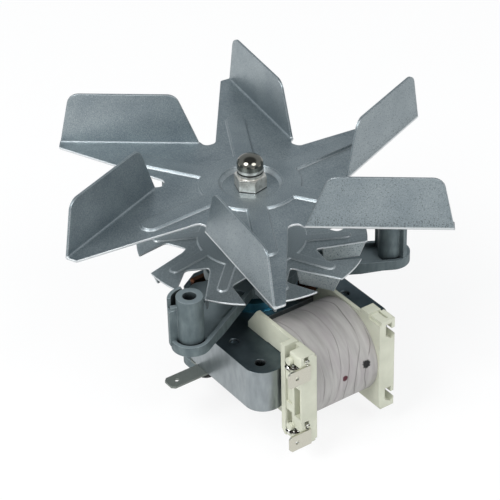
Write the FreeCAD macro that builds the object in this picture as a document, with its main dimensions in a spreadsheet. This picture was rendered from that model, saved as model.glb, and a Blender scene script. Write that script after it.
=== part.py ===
"""Oven fan motor: a shaded-pole motor with a die-cast three-post bracket.

Millimetres. +Z runs along the shaft from the motor towards the oven, the origin is on the
shaft axis in the plane of the three post tops, and the coil is at the front, towards -Y.
Each piece is an object of the document whose sizes are bound to the sheet "Sizes".
"""
import FreeCAD
import Part
import math
import os
import re
import Sketcher

SIZES = {
    # Fits
    "running_clearance": 0.05,      # radial, bearing bore over shaft
    "seat_clearance": 0.05,         # radial, between curved faces that are seated
    "slot_clearance": 0.15,         # each side, round a piece pushed into a slot
    "side_gap": 0.2,                # end float between thrust washer and bearing
    "rotor_gap": 0.35,              # air gap between rotor and poles

    # Shaft and its fan end
    "shaft_radius": 4.0,
    "shaft_rear_end": -64.0,
    "thread_radius": 3.0,
    "thread_length": 9.0,           # thread standing above the nut's seat
    "shaft_chamfer": 0.6,
    "seat_washer_radius": 8.5,
    "seat_washer_thickness": 1.0,
    "nut_flats": 10.0,
    "nut_hex_height": 5.0,
    "nut_height": 12.5,
    "nut_dome_radius": 4.65,
    "nut_crown_height": 3.2,        # height of the dome's curved top
    "nut_turn": 12.0,
    "nut_bevel_radius": 4.8,        # where the hexagon's cone-shaped bevel starts

    # Main fan, pressed from one sheet
    "fan_plane": 15.2,              # middle of its flat sheet
    "fan_sheet": 0.8,
    "fan_radius": 75.0,
    "fan_blades": 6,
    "fold_start": 0.3,              # angle of the first fold's outer end
    "fold_sweep": 33.0,             # angle from a fold's outer end back to its inner end
    "fold_inner_radius": 33.4,
    "blade_height": 20.0,
    "blade_outer_inset": 4.3,
    "blade_inner_inset": 8.1,
    "blade_corner": 4.5,
    "bend_round": 0.7,
    "arm_tip_inset": 1.6,
    "arm_tip_angle": 3.2,
    "arm_root_radius": 27.0,
    "arm_root_angle": 22.3,
    "arm_tip_corner": 1.2,
    "fan_disc_radius": 30.0,
    "fan_notch_round": 2.2,
    "rib_angle": 1.8,
    "rib_reach": 46.0,
    "rib_width": 7.5,
    "rib_rise": 0.9,
    "rib_slope": 33.0,
    "rib_wall": 0.4,                # how far the hollow under a rib stands in from its foot
    "hub_ring_radius": 18.2,
    "dish_radius": 11.25,
    "dish_drop": 1.0,
    "dish_wall": 0.75,

    # Cooling fan, pressed from one disc
    "cool_plane": -7.1,
    "cool_sheet": 0.6,
    "cool_radius": 40.7,
    "cool_blades": 10,
    "cool_start": 175.7,            # angle of the first fold's outer end
    "cool_fold_inner_radius": 25.0,
    "cool_fold_sweep": 12.5,
    "cool_notch_radius": 23.8,
    "cool_notch_angle": 15.3,
    "cool_corner_radius": 30.5,
    "cool_corner_angle": 26.2,
    "cool_gap_angle": 16.0,
    "cool_cut_round": 2.0,
    "cool_notch_round": 0.9,
    "cool_bend_round": 0.5,
    "vane_depth": 5.3,
    "vane_inner_inset": 1.6,
    "vane_outer_inset": 2.8,
    "cool_ring_radius": 19.5,
    "cool_rib_inner": 18.0,
    "cool_rib_outer": 35.0,
    "cool_rib_start_angle": 0.7,
    "cool_rib_end_angle": 5.5,
    "cool_rib_width": 4.0,
    "cool_rib_rise": 0.5,
    "cool_rib_wall": 0.3,
    "cool_seat_radius": 9.6,        # flat of the disc that the hub's flange carries
    "cool_hub_radius": 6.0,
    "cool_hub_flange": 8.5,
    "cool_hub_depth": 2.8,
    "cool_hub_lip": 0.8,

    # Bearings, felts and their clips, the same at both ends
    "bearing_ball_radius": 7.0,
    "bearing_length": 9.0,
    "front_bearing_plane": -17.0,
    "rear_bearing_plane": -58.0,
    "housing_radius": 11.8,
    "housing_front": 6.0,           # from the bearing's middle to the housing's closed end
    "housing_back": 5.0,            # from the bearing's middle to the housing's open end
    "housing_eye_radius": 5.4,
    "felt_radius": 10.0,
    "felt_bore": 7.4,
    "felt_front": 0.9,              # from the bearing's middle to the felt's shoulder
    "felt_length": 2.0,
    "clip_thickness": 0.6,
    "clip_radius": 10.4,
    "spacer_radius": 5.5,
    "washer_thickness": 1.0,
    "washer_radius": 6.4,

    # Laminated core, yoke and rotor
    "stack_top": -28.6,
    "stack_height": 16.5,
    "core_half_width": 29.75,
    "window_half_width": 15.0,
    "leg_front": -44.4,
    "window_rear": -17.5,
    "shoulder_rear": 4.0,
    "shoulder_round": 9.0,
    "neck_half_width": 20.0,
    "neck_side_rear": 15.5,
    "neck_rear": 20.4,
    "neck_rear_half_width": 12.0,
    "neck_round": 2.5,
    "yoke_rear": -29.6,
    "rotor_radius": 15.0,
    "rotor_bars": 17,
    "bar_radius": 1.1,
    "bar_circle": 13.1,
    "end_ring_outer": 14.3,
    "end_ring_inner": 9.5,
    "end_ring_height": 3.0,
    "leg_hole_x": 23.8,
    "leg_hole_y": -37.7,
    "leg_hole_radius": 2.0,
    "dimple_x": 23.9,
    "dimple_y": -22.5,
    "dimple_radius": 1.85,
    "dimple_depth": 1.0,

    # Shading rings: two copper loops on each pole
    "ring_wire": 2.0,
    "ring_rise": 2.6,               # from the stack's face to the ring's outside
    "ring_corner": 0.6,
    "ring_inner_circle": 17.3,
    "ring_outer_circle": 21.2,
    "first_ring_inner_angle": 123.5,
    "first_ring_outer_angle": 138.0,
    "second_ring_inner_angle": 148.0,
    "second_ring_outer_angle": 153.0,
    "second_ring_reach": 21.6,

    # Die-cast front bracket
    "post_circle": 49.5,
    "post_radius": 4.65,
    "post_hole_radius": 2.4,
    "post_hole_depth": 14.0,
    "tray_floor": -18.2,
    "tray_rim": -16.6,
    "tray_bottom": -20.3,
    "tray_root_bottom": -21.0,
    "tray_root_reach": 38.0,        # where the deeper root starts to rise
    "tray_root_end": 45.0,
    "tray_half_width": 7.4,
    "tray_end_half_width": 6.9,
    "tray_wall": 1.4,
    "web_radius": 17.5,
    "shield_inner": 6.3,
    "shield_outer": 7.6,
    "shield_top": -0.8,
    "shield_start": 40.0,           # angle from the post's outward line
    "shield_sweep": 90.0,
    "shield_low_sweep": 24.0,       # part of the wall that is lower
    "shield_low_top": -4.7,
    "nose_sweep": 9.0,
    "guide_rib_angle": 50.0,
    "guide_rib_reach": 6.7,
    "guide_rib_thickness": 1.7,
    "guide_rib_top": -3.2,
    "lug_radius": 5.2,
    "screw_x": 24.5,
    "screw_y": -4.8,

    # Die-cast rear bracket, clamp screws and earth tab
    "screw_radius": 2.0,
    "screw_hole_radius": 2.2,
    "screw_head_radius": 4.0,
    "screw_head_height": 3.2,
    "screw_head_round": 1.2,
    "screw_grip": 7.0,              # thread held in the front bracket's lug
    "screw_recess": 2.2,
    "strap_lug_thickness": 4.3,
    "strap_drop": 5.5,              # from the stack's face to the middle of the strap
    "strap_thickness": 3.4,
    "strap_front": -7.8,
    "strap_rear": 5.2,
    "strap_half_width": 30.0,
    "strap_step_outer": 18.6,
    "strap_step_inner": 16.4,
    "strap_corner": 5.5,
    "tab_thickness": 0.8,
    "tab_width": 6.3,
    "tab_y": -10.3,
    "tab_end": -44.2,
    "tab_hole_x": -40.5,
    "tab_hole_radius": 0.85,
    "tab_ring_radius": 5.5,
    "tab_point": 1.2,

    # Coil, bobbin and terminals
    "bobbin_wall": 1.2,
    "flange_thickness": 1.5,
    "flange_gap": 0.1,              # between flange and leg
    "flange_front": -56.0,
    "flange_rear": -18.0,
    "flange_top": -19.3,
    "flange_bottom": -54.3,
    "flange_bevel_run": 5.3,
    "flange_bevel_fall": 7.2,
    "coil_y": -37.0,
    "coil_half_depth": 17.7,
    "coil_half_height": 16.6,
    "tape_thickness": 0.5,
    "holder_front": -56.0,
    "far_holder_rear": -50.0,
    "holder_reach": 5.2,            # outwards from the core's window, as the next ones are
    "strip_reach": 5.5,
    "holder_top": -18.0,
    "holder_bottom": -55.2,
    "strip_front": -47.6,
    "strip_rear": -45.2,
    "strip_top": -17.2,
    "strip_bevel": 1.5,
    "gap_front": -50.0,             # gap behind the upper block
    "gap_depth": 4.4,
    "gap_bottom": -27.0,
    "bay_rear": -48.2,              # bays that the wire ends are led through
    "bay_depth": 2.6,
    "bay_height": 3.0,
    "bay_lift": 0.5,                # from a terminal's top edge down to the top of its bay
    "recess_front": -50.9,
    "recess_depth": 0.9,
    "recess_top": -30.9,
    "recess_bottom": -40.3,
    "cavity_rear": -47.9,
    "cavity_depth": 2.2,
    "cavity_top": -43.6,
    "corner_rear": -52.3,           # tall pocket behind the front corner
    "corner_wall": 0.5,
    "corner_depth": 2.4,
    "corner_top": -31.4,
    "corner_bottom": -44.0,
    "eye_reach": 1.9,               # small square hole over each terminal
    "eye_width": 1.8,
    "eye_lift": 1.5,
    "eye_depth": 2.0,
    "hook_depth": 6.0,              # hook-shaped slots of the far holder
    "hook_left": 1.1,
    "hook_middle": 3.6,
    "hook_top": -19.7,
    "hook_upper_step": -22.0,
    "hook_lower_step": -24.4,
    "hook_bottom": -26.2,
    "hook_pitch": 27.3,
    "guide_rear": -45.6,            # slotted tab that leads the wire over the far flange
    "guide_reach": 3.6,
    "guide_top": -17.3,
    "guide_bottom": -24.0,
    "guide_slit": 0.8,
    "guide_slit_reach": 2.2,
    "guide_slit_depth": 3.0,
    "foot_reach": 4.0,              # outer face of a terminal's foot
    "peg_radius": 1.4,
    "peg_length": 1.6,
    "peg_y": -51.0,
    "peg_inset": 3.1,
    "moulding_round": 0.5,
    "blade_thickness": 0.8,
    "terminal_reach": 10.4,
    "terminal_root": 1.4,
    "terminal_point": 0.9,
    "terminal_hole_radius": 0.8,
    "terminal_foot_depth": 6.0,
    "terminal_foot_half_height": 1.6,
    "upper_terminal_top": -21.5,
    "lower_terminal_top": -48.7,
    "terminal_width": 6.3,
    "upper_terminal_hole": 7.0,
    "lower_terminal_hole": 7.3,
}

doc = FreeCAD.newDocument("oven_fan_motor")
sheet = doc.addObject("Spreadsheet::Sheet", "Sizes")
for row, (alias, number) in enumerate(SIZES.items(), start=1):
    sheet.set(f"A{row}", alias)
    sheet.set(f"B{row}", str(number))
    sheet.setAlias(f"B{row}", alias)
doc.recompute()

ZERO = 1e-9
pieces = []


def bound(text):
    """An expression in plain size names, written out for the document."""
    return re.sub(r"\b[a-z]+(?:_[a-z]+)+\b", lambda word: f"Sizes.{word.group(0)}", text)


def value(text):
    """The present value of an expression in plain size names."""
    return float(sheet.evalExpression(bound(text)))


def polar(radius, angle):
    """The two coordinates, as expressions, of a point given by radius and angle."""
    return f"({radius}) * cos({angle})", f"({radius}) * sin({angle})"


def new_body(node):
    body = doc.addObject("PartDesign::Body", node)
    body.Label = node
    pieces.append(body)
    return body


def origin_feature(body, role):
    return [feature for feature in body.Origin.OriginFeatures if feature.Role == role][0]


def new_sketch(body, name, role, height=None):
    """A sketch on one of the body's own planes, raised along the plane's normal."""
    sketch = body.newObject("Sketcher::SketchObject", name)
    sketch.AttachmentSupport = [(origin_feature(body, role), "")]
    sketch.MapMode = "FlatFace"
    if height is not None:
        sketch.setExpression("AttachmentOffset.Base.z", bound(height))
    return sketch


def hold(sketch, geometry, point, x, y):
    """Tie a point of a sketch to two expressions measured from the origin."""
    for kind, axis, text in (("DistanceX", -2, x), ("DistanceY", -1, y)):
        number = value(text)
        if abs(number) < ZERO:
            sketch.addConstraint(Sketcher.Constraint("PointOnObject", geometry, point, axis))
        else:
            index = sketch.addConstraint(Sketcher.Constraint(kind, -1, 1, geometry, point, number))
            sketch.setExpression(f"Constraints[{index}]", bound(text))


def outline(sketch, corners):
    """A closed outline of straight lines through corners given as pairs of expressions."""
    points = [FreeCAD.Vector(value(x), value(y), 0) for x, y in corners]
    first = sketch.GeometryCount
    count = len(points)
    for index, point in enumerate(points):
        sketch.addGeometry(Part.LineSegment(point, points[(index + 1) % count]))
    for index in range(count):
        following = first + (index + 1) % count
        sketch.addConstraint(Sketcher.Constraint("Coincident", first + index, 2, following, 1))
    for index, (x, y) in enumerate(corners):
        hold(sketch, first + index, 1, x, y)


def circle(sketch, x, y, radius):
    centre = FreeCAD.Vector(value(x), value(y), 0)
    index = sketch.addGeometry(Part.Circle(centre, FreeCAD.Vector(0, 0, 1), value(radius)))
    hold(sketch, index, 3, x, y)
    size = sketch.addConstraint(Sketcher.Constraint("Radius", index, value(radius)))
    sketch.setExpression(f"Constraints[{size}]", bound(radius))


def ellipse(sketch, x, y, half_x, half_y):
    """An ellipse with its axes along the sketch's own, held by its vertices."""
    centre = FreeCAD.Vector(value(x), value(y), 0)
    along = FreeCAD.Vector(value(half_x), 0, 0)
    across = FreeCAD.Vector(0, value(half_y), 0)
    index = sketch.addGeometry(Part.Ellipse(centre + along, centre + across, centre))
    hold(sketch, index, 3, x, y)
    sketch.exposeInternalGeometry(index)
    hold(sketch, index + 1, 1, f"({x}) + ({half_x})", y)
    height = value(f"({y}) + ({half_y})")
    tie = sketch.addConstraint(Sketcher.Constraint("DistanceY", -1, 1, index + 2, 1, height))
    sketch.setExpression(f"Constraints[{tie}]", bound(f"({y}) + ({half_y})"))


def pad(body, sketch, name, length, reverse=False, middle=False, taper=None):
    """A pad whose sides lean inwards by the taper."""
    feature = body.newObject("PartDesign::Pad", name)
    feature.Profile = sketch
    feature.setExpression("Length", bound(length))
    feature.Reversed = reverse
    feature.Midplane = middle
    if taper is not None:
        feature.setExpression("TaperAngle", bound(f"0 - ({taper})"))
    return feature


def pocket(body, sketch, name, length, reverse=False, middle=False, taper=None):
    """A cut that has to take something away, or the build stops."""
    doc.recompute()
    before = body.Shape.Volume
    feature = body.newObject("PartDesign::Pocket", name)
    feature.Profile = sketch
    feature.setExpression("Length", bound(length))
    feature.Reversed = reverse
    feature.Midplane = middle
    if taper is not None:
        feature.setExpression("TaperAngle", bound(f"0 - ({taper})"))
    doc.recompute()
    if body.Shape.Volume > before - ZERO:
        raise RuntimeError(f"{body.Label}: {name} cuts nothing")
    return feature


def turned(body, name, corners, kind="Revolution"):
    """A profile of (radius, height) corners turned round the shaft axis, or a groove cut so."""
    sketch = new_sketch(body, f"{name}_profile", "XZ_Plane")
    outline(sketch, corners)
    feature = body.newObject(f"PartDesign::{kind}", name)
    feature.Profile = sketch
    feature.ReferenceAxis = (sketch, ["V_Axis"])
    feature.Angle = 360
    return feature


def around(body, name, features, count):
    """Copies of features, evenly spaced round the shaft axis."""
    pattern = body.newObject("PartDesign::PolarPattern", name)
    pattern.Originals = features
    pattern.Axis = (origin_feature(body, "Z_Axis"), [""])
    pattern.Angle = 360
    pattern.setExpression("Occurrences", bound(count))
    body.Tip = pattern
    return pattern


def soften(body, name, radius, chosen, kind="Fillet"):
    """Round or chamfer the edges that a test of their middle and direction picks."""
    doc.recompute()
    picked = []
    for index, edge in enumerate(body.Shape.Edges, start=1):
        middle = edge.valueAt((edge.FirstParameter + edge.LastParameter) / 2)
        run = edge.valueAt(edge.LastParameter) - edge.valueAt(edge.FirstParameter)
        if chosen(middle, run, edge):
            picked.append(f"Edge{index}")
    if not picked:
        raise RuntimeError(f"{body.Label}: {name} finds no edge")
    before = body.Tip
    feature = body.newObject(f"PartDesign::{kind}", name)
    feature.Base = (before, picked)
    feature.setExpression("Radius" if kind == "Fillet" else "Size", bound(radius))
    body.Tip = feature
    doc.recompute()
    return feature


def close(number, text, within=0.01):
    return abs(number - value(text)) < within


def upright(run):
    """True for an edge that runs along the shaft axis."""
    return abs(run.x) < 0.01 and abs(run.y) < 0.01 and abs(run.z) > 0.05


def corner_at(radius):
    """A test for the upright edges at a radius from the shaft axis."""
    def chosen(middle, run, edge):
        return upright(run) and close(math.hypot(middle.x, middle.y), radius, 0.05)

    return chosen


# Turning pieces on the shaft

NUT_SEAT = "(fan_plane + fan_sheet / 2 - dish_drop)"
SHAFT_SHOULDER = "(fan_plane - fan_sheet / 2 - dish_drop - seat_washer_thickness)"
COOL_TOP = "(cool_plane + cool_sheet / 2)"
COOL_UNDER = "(cool_plane - cool_sheet / 2)"
STACK_BOTTOM = "(stack_top - stack_height)"


def build_shaft():
    body = new_body("shaft")
    end = f"({NUT_SEAT} + thread_length)"
    turned(body, "bar", [
        ("0", "shaft_rear_end"),
        ("shaft_radius - shaft_chamfer", "shaft_rear_end"),
        ("shaft_radius", "shaft_rear_end + shaft_chamfer"),
        ("shaft_radius", SHAFT_SHOULDER),
        ("thread_radius", SHAFT_SHOULDER),
        ("thread_radius", f"{end} - shaft_chamfer"),
        ("thread_radius - shaft_chamfer", end),
        ("0", end),
    ])


def sleeve(node, bottom, top, outer, bore):
    """A plain ring or tube on the shaft."""
    body = new_body(node)
    turned(body, "ring", [(bore, bottom), (outer, bottom), (outer, top), (bore, top)])


def build_sleeves():
    shaft_fit = "shaft_radius + seat_clearance"
    front_face = "(front_bearing_plane - bearing_length / 2 - side_gap)"
    rear_face = "(rear_bearing_plane + bearing_length / 2 + side_gap)"
    cage_front = "(stack_top + end_ring_height)"
    cage_rear = f"({STACK_BOTTOM} - end_ring_height)"
    sleeve("front_thrust_washer", f"{front_face} - washer_thickness", front_face, "washer_radius", shaft_fit)
    sleeve("rear_thrust_washer", rear_face, f"{rear_face} + washer_thickness", "washer_radius", shaft_fit)
    sleeve("front_spacer", "stack_top", f"{front_face} - washer_thickness", "spacer_radius", shaft_fit)
    sleeve("rear_spacer", f"{rear_face} + washer_thickness", STACK_BOTTOM, "spacer_radius", shaft_fit)
    sleeve("fan_seat_washer", SHAFT_SHOULDER, f"{SHAFT_SHOULDER} + seat_washer_thickness",
           "seat_washer_radius", "thread_radius + seat_clearance")


def bar_positions(radius):
    """The cage bars, evenly spaced round the rotor."""
    for index in range(int(value("rotor_bars"))):
        x, y = polar("bar_circle", f"360 * {index} / rotor_bars")
        yield x, y, radius


def build_rotor_core():
    body = new_body("rotor_core")
    sketch = new_sketch(body, "lamination", "XY_Plane", STACK_BOTTOM)
    circle(sketch, "0", "0", "rotor_radius")
    circle(sketch, "0", "0", "shaft_radius + seat_clearance")
    for x, y, radius in bar_positions("bar_radius + seat_clearance"):
        circle(sketch, x, y, radius)
    pad(body, sketch, "stack", "stack_height")


def build_rotor_cage():
    body = new_body("rotor_cage")
    bars = new_sketch(body, "bar_section", "XY_Plane", STACK_BOTTOM)
    for x, y, radius in bar_positions("bar_radius"):
        circle(bars, x, y, radius)
    for name, bottom in (("rear_ring", f"{STACK_BOTTOM} - end_ring_height"), ("front_ring", "stack_top")):
        section = new_sketch(body, f"{name}_section", "XY_Plane", bottom)
        circle(section, "0", "0", "end_ring_outer")
        circle(section, "0", "0", "end_ring_inner")
        pad(body, section, name, "end_ring_height")
        if name == "rear_ring":
            pad(body, bars, "bars", "stack_height")


def build_dome_nut():
    body = new_body("dome_nut")
    flats = new_sketch(body, "hexagon", "XY_Plane", NUT_SEAT)
    outline(flats, [polar("nut_flats / 2 / cos(30)", f"nut_turn + 60 * {index}") for index in range(6)])
    pad(body, flats, "hexagon_pad", "nut_hex_height")
    shoulder = f"{NUT_SEAT} + nut_hex_height"
    turned(body, "bevel", [
        ("nut_bevel_radius", shoulder),
        ("nut_flats", shoulder),
        ("nut_flats", f"{shoulder} - (nut_flats - nut_bevel_radius) * tan(30)"),
    ], "Groove")
    dome = new_sketch(body, "dome_section", "XY_Plane", NUT_SEAT)
    circle(dome, "0", "0", "nut_dome_radius")
    pad(body, dome, "dome", "nut_height - nut_crown_height")
    crown = body.newObject("PartDesign::AdditiveEllipsoid", "crown")
    crown.AttachmentSupport = [(origin_feature(body, "XY_Plane"), "")]
    crown.MapMode = "FlatFace"
    crown.setExpression("Radius1", bound("nut_crown_height"))
    crown.setExpression("Radius2", bound("nut_dome_radius"))
    crown.setExpression("Radius3", bound("nut_dome_radius"))
    crown.setExpression("AttachmentOffset.Base.z", bound(f"{NUT_SEAT} + nut_height - nut_crown_height"))
    bore = new_sketch(body, "bore_section", "XY_Plane", NUT_SEAT)
    circle(bore, "0", "0", "thread_radius + seat_clearance")
    pocket(body, bore, "bore", "thread_length + seat_clearance * 4", reverse=True)


def fold_sketch(body, name, inner, outer, height):
    """A sketch on the upright plane through a fold line, with its own origin at the inner end."""
    (inner_x, inner_y), (outer_x, outer_y) = inner, outer
    sketch = body.newObject("Sketcher::SketchObject", name)
    sketch.AttachmentSupport = [(origin_feature(body, "XZ_Plane"), "")]
    sketch.MapMode = "FlatFace"
    turn = math.degrees(math.atan2(value(f"({outer_y}) - ({inner_y})"), value(f"({outer_x}) - ({inner_x})")))
    upwards = FreeCAD.Vector(0, 1, 0)
    sketch.AttachmentOffset = FreeCAD.Placement(FreeCAD.Vector(), FreeCAD.Rotation(upwards, turn))
    sketch.setExpression("AttachmentOffset.Base.x", bound(inner_x))
    sketch.setExpression("AttachmentOffset.Base.y", bound(height))
    sketch.setExpression("AttachmentOffset.Base.z", bound(f"0 - ({inner_y})"))
    return sketch


def fold_length(inner, outer):
    (inner_x, inner_y), (outer_x, outer_y) = inner, outer
    return f"sqrt((({outer_x}) - ({inner_x})) ^ 2 + (({outer_y}) - ({inner_y})) ^ 2)"


def build_main_fan():
    """Six arms with blades folded up, raised ribs and a raised hub ring round a dish."""
    body = new_body("main_fan")
    under = "(fan_plane - fan_sheet / 2)"
    over = "(fan_plane + fan_sheet / 2)"
    disc = new_sketch(body, "disc", "XY_Plane", under)
    circle(disc, "0", "0", "fan_disc_radius")
    pad(body, disc, "disc_sheet", "fan_sheet")

    arm_tip = "(fan_radius - arm_tip_inset)"
    inner = polar("fold_inner_radius", "fold_start - fold_sweep")
    outer = polar("fan_radius", "fold_start")
    arm = new_sketch(body, "arm", "XY_Plane", under)
    outline(arm, [
        inner,
        outer,
        polar(arm_tip, "fold_start + arm_tip_angle"),
        polar("arm_root_radius", "fold_start + arm_root_angle"),
        polar("arm_root_radius", "fold_start - fold_sweep"),
    ])
    arm_pad = pad(body, arm, "arm_sheet", "fan_sheet")

    length = fold_length(inner, outer)
    height = "(blade_height + fan_sheet / 2)"
    blade = fold_sketch(body, "blade", inner, outer, under)
    outline(blade, [
        ("0", "0"),
        (length, "0"),
        (f"{length} - blade_outer_inset", height),
        ("blade_inner_inset", height),
    ])
    blade_pad = pad(body, blade, "blade_sheet", "fan_sheet", reverse=True)
    around(body, "arms", [arm_pad, blade_pad], "fan_blades")
    soften(body, "notches", "fan_notch_round", corner_at("fan_disc_radius"))
    soften(body, "arm_tips", "arm_tip_corner", corner_at(arm_tip))

    angle = "(fold_start + rib_angle)"
    reach = "rib_reach - rib_width / 2"
    for name, plane, wall, hollow in (("raised", over, "0", False), ("hollow", under, "rib_wall", True)):
        ring = new_sketch(body, f"{name}_ring_section", "XY_Plane", plane)
        circle(ring, "0", "0", f"hub_ring_radius - {wall}")
        press(body, ring, f"{name}_ring", "rib_rise", hollow)
        rib = press_bar(body, f"{name}_rib", plane, ("0", "0"), polar(reach, angle),
                        f"rib_width / 2 - {wall}", "rib_rise", hollow)
        around(body, f"{name}_ribs", rib, "fan_blades")

    floor = "(fan_plane - fan_sheet / 2 - dish_drop)"
    cup = new_sketch(body, "cup_section", "XY_Plane", floor)
    circle(cup, "0", "0", "dish_radius + dish_wall")
    pad(body, cup, "cup", "dish_drop + fan_sheet + rib_rise")
    dish = new_sketch(body, "dish_section", "XY_Plane", f"{over} + rib_rise")
    circle(dish, "0", "0", "dish_radius")
    pocket(body, dish, "dish", "rib_rise + dish_drop", taper="rib_slope")
    bore = new_sketch(body, "bore_section", "XY_Plane", f"{over} + rib_rise")
    circle(bore, "0", "0", "thread_radius + seat_clearance")
    pocket(body, bore, "bore", "rib_rise + dish_drop + fan_sheet * 2")

    blade_top = "fan_plane + blade_height"

    def blade_corner(middle, run, edge):
        flat = abs(run.z) < 0.01 and close(edge.Length, "fan_sheet")
        return flat and close(middle.z, blade_top)

    def outer_bend(middle, run, edge):
        return close(middle.z, under) and close(edge.Length, length, 0.05)

    def inner_bend(middle, run, edge):
        return close(middle.z, over) and close(edge.Length, length, 2.5)

    soften(body, "blade_corners", "blade_corner", blade_corner)
    soften(body, "bend_inside", "bend_round", inner_bend)
    soften(body, "bend_outside", "bend_round", outer_bend)


def press(body, sketch, name, rise, hollow):
    """One pressing in a sheet: raised above with sloping sides, or hollow below."""
    if hollow:
        return pocket(body, sketch, name, rise, reverse=True, taper="rib_slope")
    return pad(body, sketch, name, rise, taper="rib_slope")


def press_bar(body, name, plane, start, end, half_width, rise, hollow):
    """A straight rib with a round far end, as the features that make it."""
    (start_x, start_y), (end_x, end_y) = start, end
    along = value(f"({end_x}) - ({start_x})")
    across = value(f"({end_y}) - ({start_y})")
    turn = f"{math.degrees(math.atan2(across, along)):.6f}"
    side_x, side_y = polar(half_width, f"{turn} + 90")
    bar = new_sketch(body, f"{name}_section", "XY_Plane", plane)
    outline(bar, [
        (f"{start_x} + {side_x}", f"{start_y} + {side_y}"),
        (f"{start_x} - {side_x}", f"{start_y} - {side_y}"),
        (f"{end_x} - {side_x}", f"{end_y} - {side_y}"),
        (f"{end_x} + {side_x}", f"{end_y} + {side_y}"),
    ])
    bar_feature = press(body, bar, name, rise, hollow)
    tip = new_sketch(body, f"{name}_tip_section", "XY_Plane", plane)
    circle(tip, end_x, end_y, half_width)
    return [bar_feature, press(body, tip, f"{name}_tip", rise, hollow)]


def build_cooling_fan():
    """A disc with a cut-out in each sector whose flap is folded down as a vane."""
    body = new_body("cooling_fan")
    disc = new_sketch(body, "disc", "XY_Plane", COOL_UNDER)
    circle(disc, "0", "0", "cool_radius")
    circle(disc, "0", "0", "cool_hub_radius + seat_clearance")
    pad(body, disc, "disc_sheet", "cool_sheet")

    inner = polar("cool_fold_inner_radius", "cool_start - cool_fold_sweep")
    outer = polar("cool_radius", "cool_start")
    past = "cool_radius * 1.06"
    cut = new_sketch(body, "cut_outline", "XY_Plane", COOL_TOP)
    outline(cut, [
        polar(past, "cool_start + 1.2"),
        outer,
        inner,
        polar("cool_notch_radius", "cool_start - cool_notch_angle"),
        polar("cool_corner_radius", "cool_start - cool_corner_angle"),
        polar("cool_radius", "cool_start - cool_gap_angle"),
        polar(past, "cool_start - cool_gap_angle"),
    ])
    cut_feature = pocket(body, cut, "cut", "cool_sheet * 2")

    length = fold_length(inner, outer)
    drop = "(cool_sheet + vane_depth)"
    vane = fold_sketch(body, "vane", inner, outer, COOL_TOP)
    outline(vane, [
        ("cool_sheet", "0"),
        (f"{length} - cool_sheet", "0"),
        (f"{length} - cool_sheet", "0 - cool_sheet"),
        (f"{length} - vane_outer_inset", f"0 - {drop}"),
        ("vane_inner_inset", f"0 - {drop}"),
        ("cool_sheet", "0 - cool_sheet"),
    ])
    vane_feature = pad(body, vane, "vane_sheet", "cool_sheet", reverse=True)
    around(body, "vanes", [cut_feature, vane_feature], "cool_blades")
    soften(body, "cut_corners", "cool_cut_round", corner_at("cool_corner_radius"))
    soften(body, "notches", "cool_notch_round", corner_at("cool_notch_radius"))
    soften(body, "bends", "cool_bend_round",
           lambda middle, run, edge: close(middle.z, COOL_TOP) and close(edge.Length, length, 0.3))

    rib_start = polar("cool_rib_inner", "cool_start - cool_rib_start_angle")
    rib_end = polar("cool_rib_outer - cool_rib_width / 2", "cool_start + cool_rib_end_angle")
    for name, plane, wall, hollow in (("raised", COOL_TOP, "0", False),
                                      ("hollow", COOL_UNDER, "cool_rib_wall", True)):
        ring = new_sketch(body, f"{name}_ring_section", "XY_Plane", plane)
        circle(ring, "0", "0", f"cool_ring_radius - {wall}")
        circle(ring, "0", "0", f"cool_seat_radius + {wall}")
        press(body, ring, f"{name}_ring", "cool_rib_rise", hollow)
        rib = press_bar(body, f"{name}_rib", plane, rib_start, rib_end,
                        f"cool_rib_width / 2 - {wall}", "cool_rib_rise", hollow)
        around(body, f"{name}_ribs", rib, "cool_blades")


def build_cooling_fan_hub():
    """A turned bush whose flange carries the disc and whose lip is peened over it."""
    body = new_body("cooling_fan_hub")
    bore = "shaft_radius + seat_clearance"
    turned(body, "bush", [
        (bore, f"{COOL_UNDER} - cool_hub_depth"),
        ("cool_hub_flange", f"{COOL_UNDER} - cool_hub_depth"),
        ("cool_hub_flange", COOL_UNDER),
        ("cool_hub_radius", COOL_UNDER),
        ("cool_hub_radius", f"{COOL_TOP} + cool_hub_lip"),
        (bore, f"{COOL_TOP} + cool_hub_lip"),
    ])


# Bearings and brackets

FRONT_END = ("front_bearing_plane", "")
REAR_END = ("rear_bearing_plane", "0 - ")


def from_bearing(end, distance):
    """A height measured from a bearing's middle towards its housing's closed end."""
    plane, sign = end
    return f"{plane} + ({sign}({distance}))"


def build_bearing(node, end):
    """A spherical bush of sintered bronze."""
    body = new_body(node)
    plane = end[0]
    ball = body.newObject("PartDesign::AdditiveSphere", "ball")
    ball.AttachmentSupport = [(origin_feature(body, "XY_Plane"), "")]
    ball.MapMode = "FlatFace"
    ball.setExpression("Radius", bound("bearing_ball_radius"))
    ball.setExpression("AttachmentOffset.Base.z", bound(plane))
    for name, side in (("upper_face", "+"), ("lower_face", "-")):
        face = new_sketch(body, f"{name}_section", "XY_Plane", f"{plane} {side} bearing_length / 2")
        circle(face, "0", "0", "bearing_ball_radius")
        pocket(body, face, name, "bearing_ball_radius", reverse=side == "+")
    bore = new_sketch(body, "bore_section", "XY_Plane", f"{plane} + bearing_ball_radius")
    circle(bore, "0", "0", "shaft_radius + running_clearance")
    pocket(body, bore, "bore", "bearing_ball_radius * 2")


def build_felt(node, end):
    """The oil felt, a ring round the bush behind its spherical seat."""
    near = from_bearing(end, "felt_front - seat_clearance")
    far = from_bearing(end, "felt_front - felt_length")
    sleeve(node, near, far, "felt_radius", "felt_bore")


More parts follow.
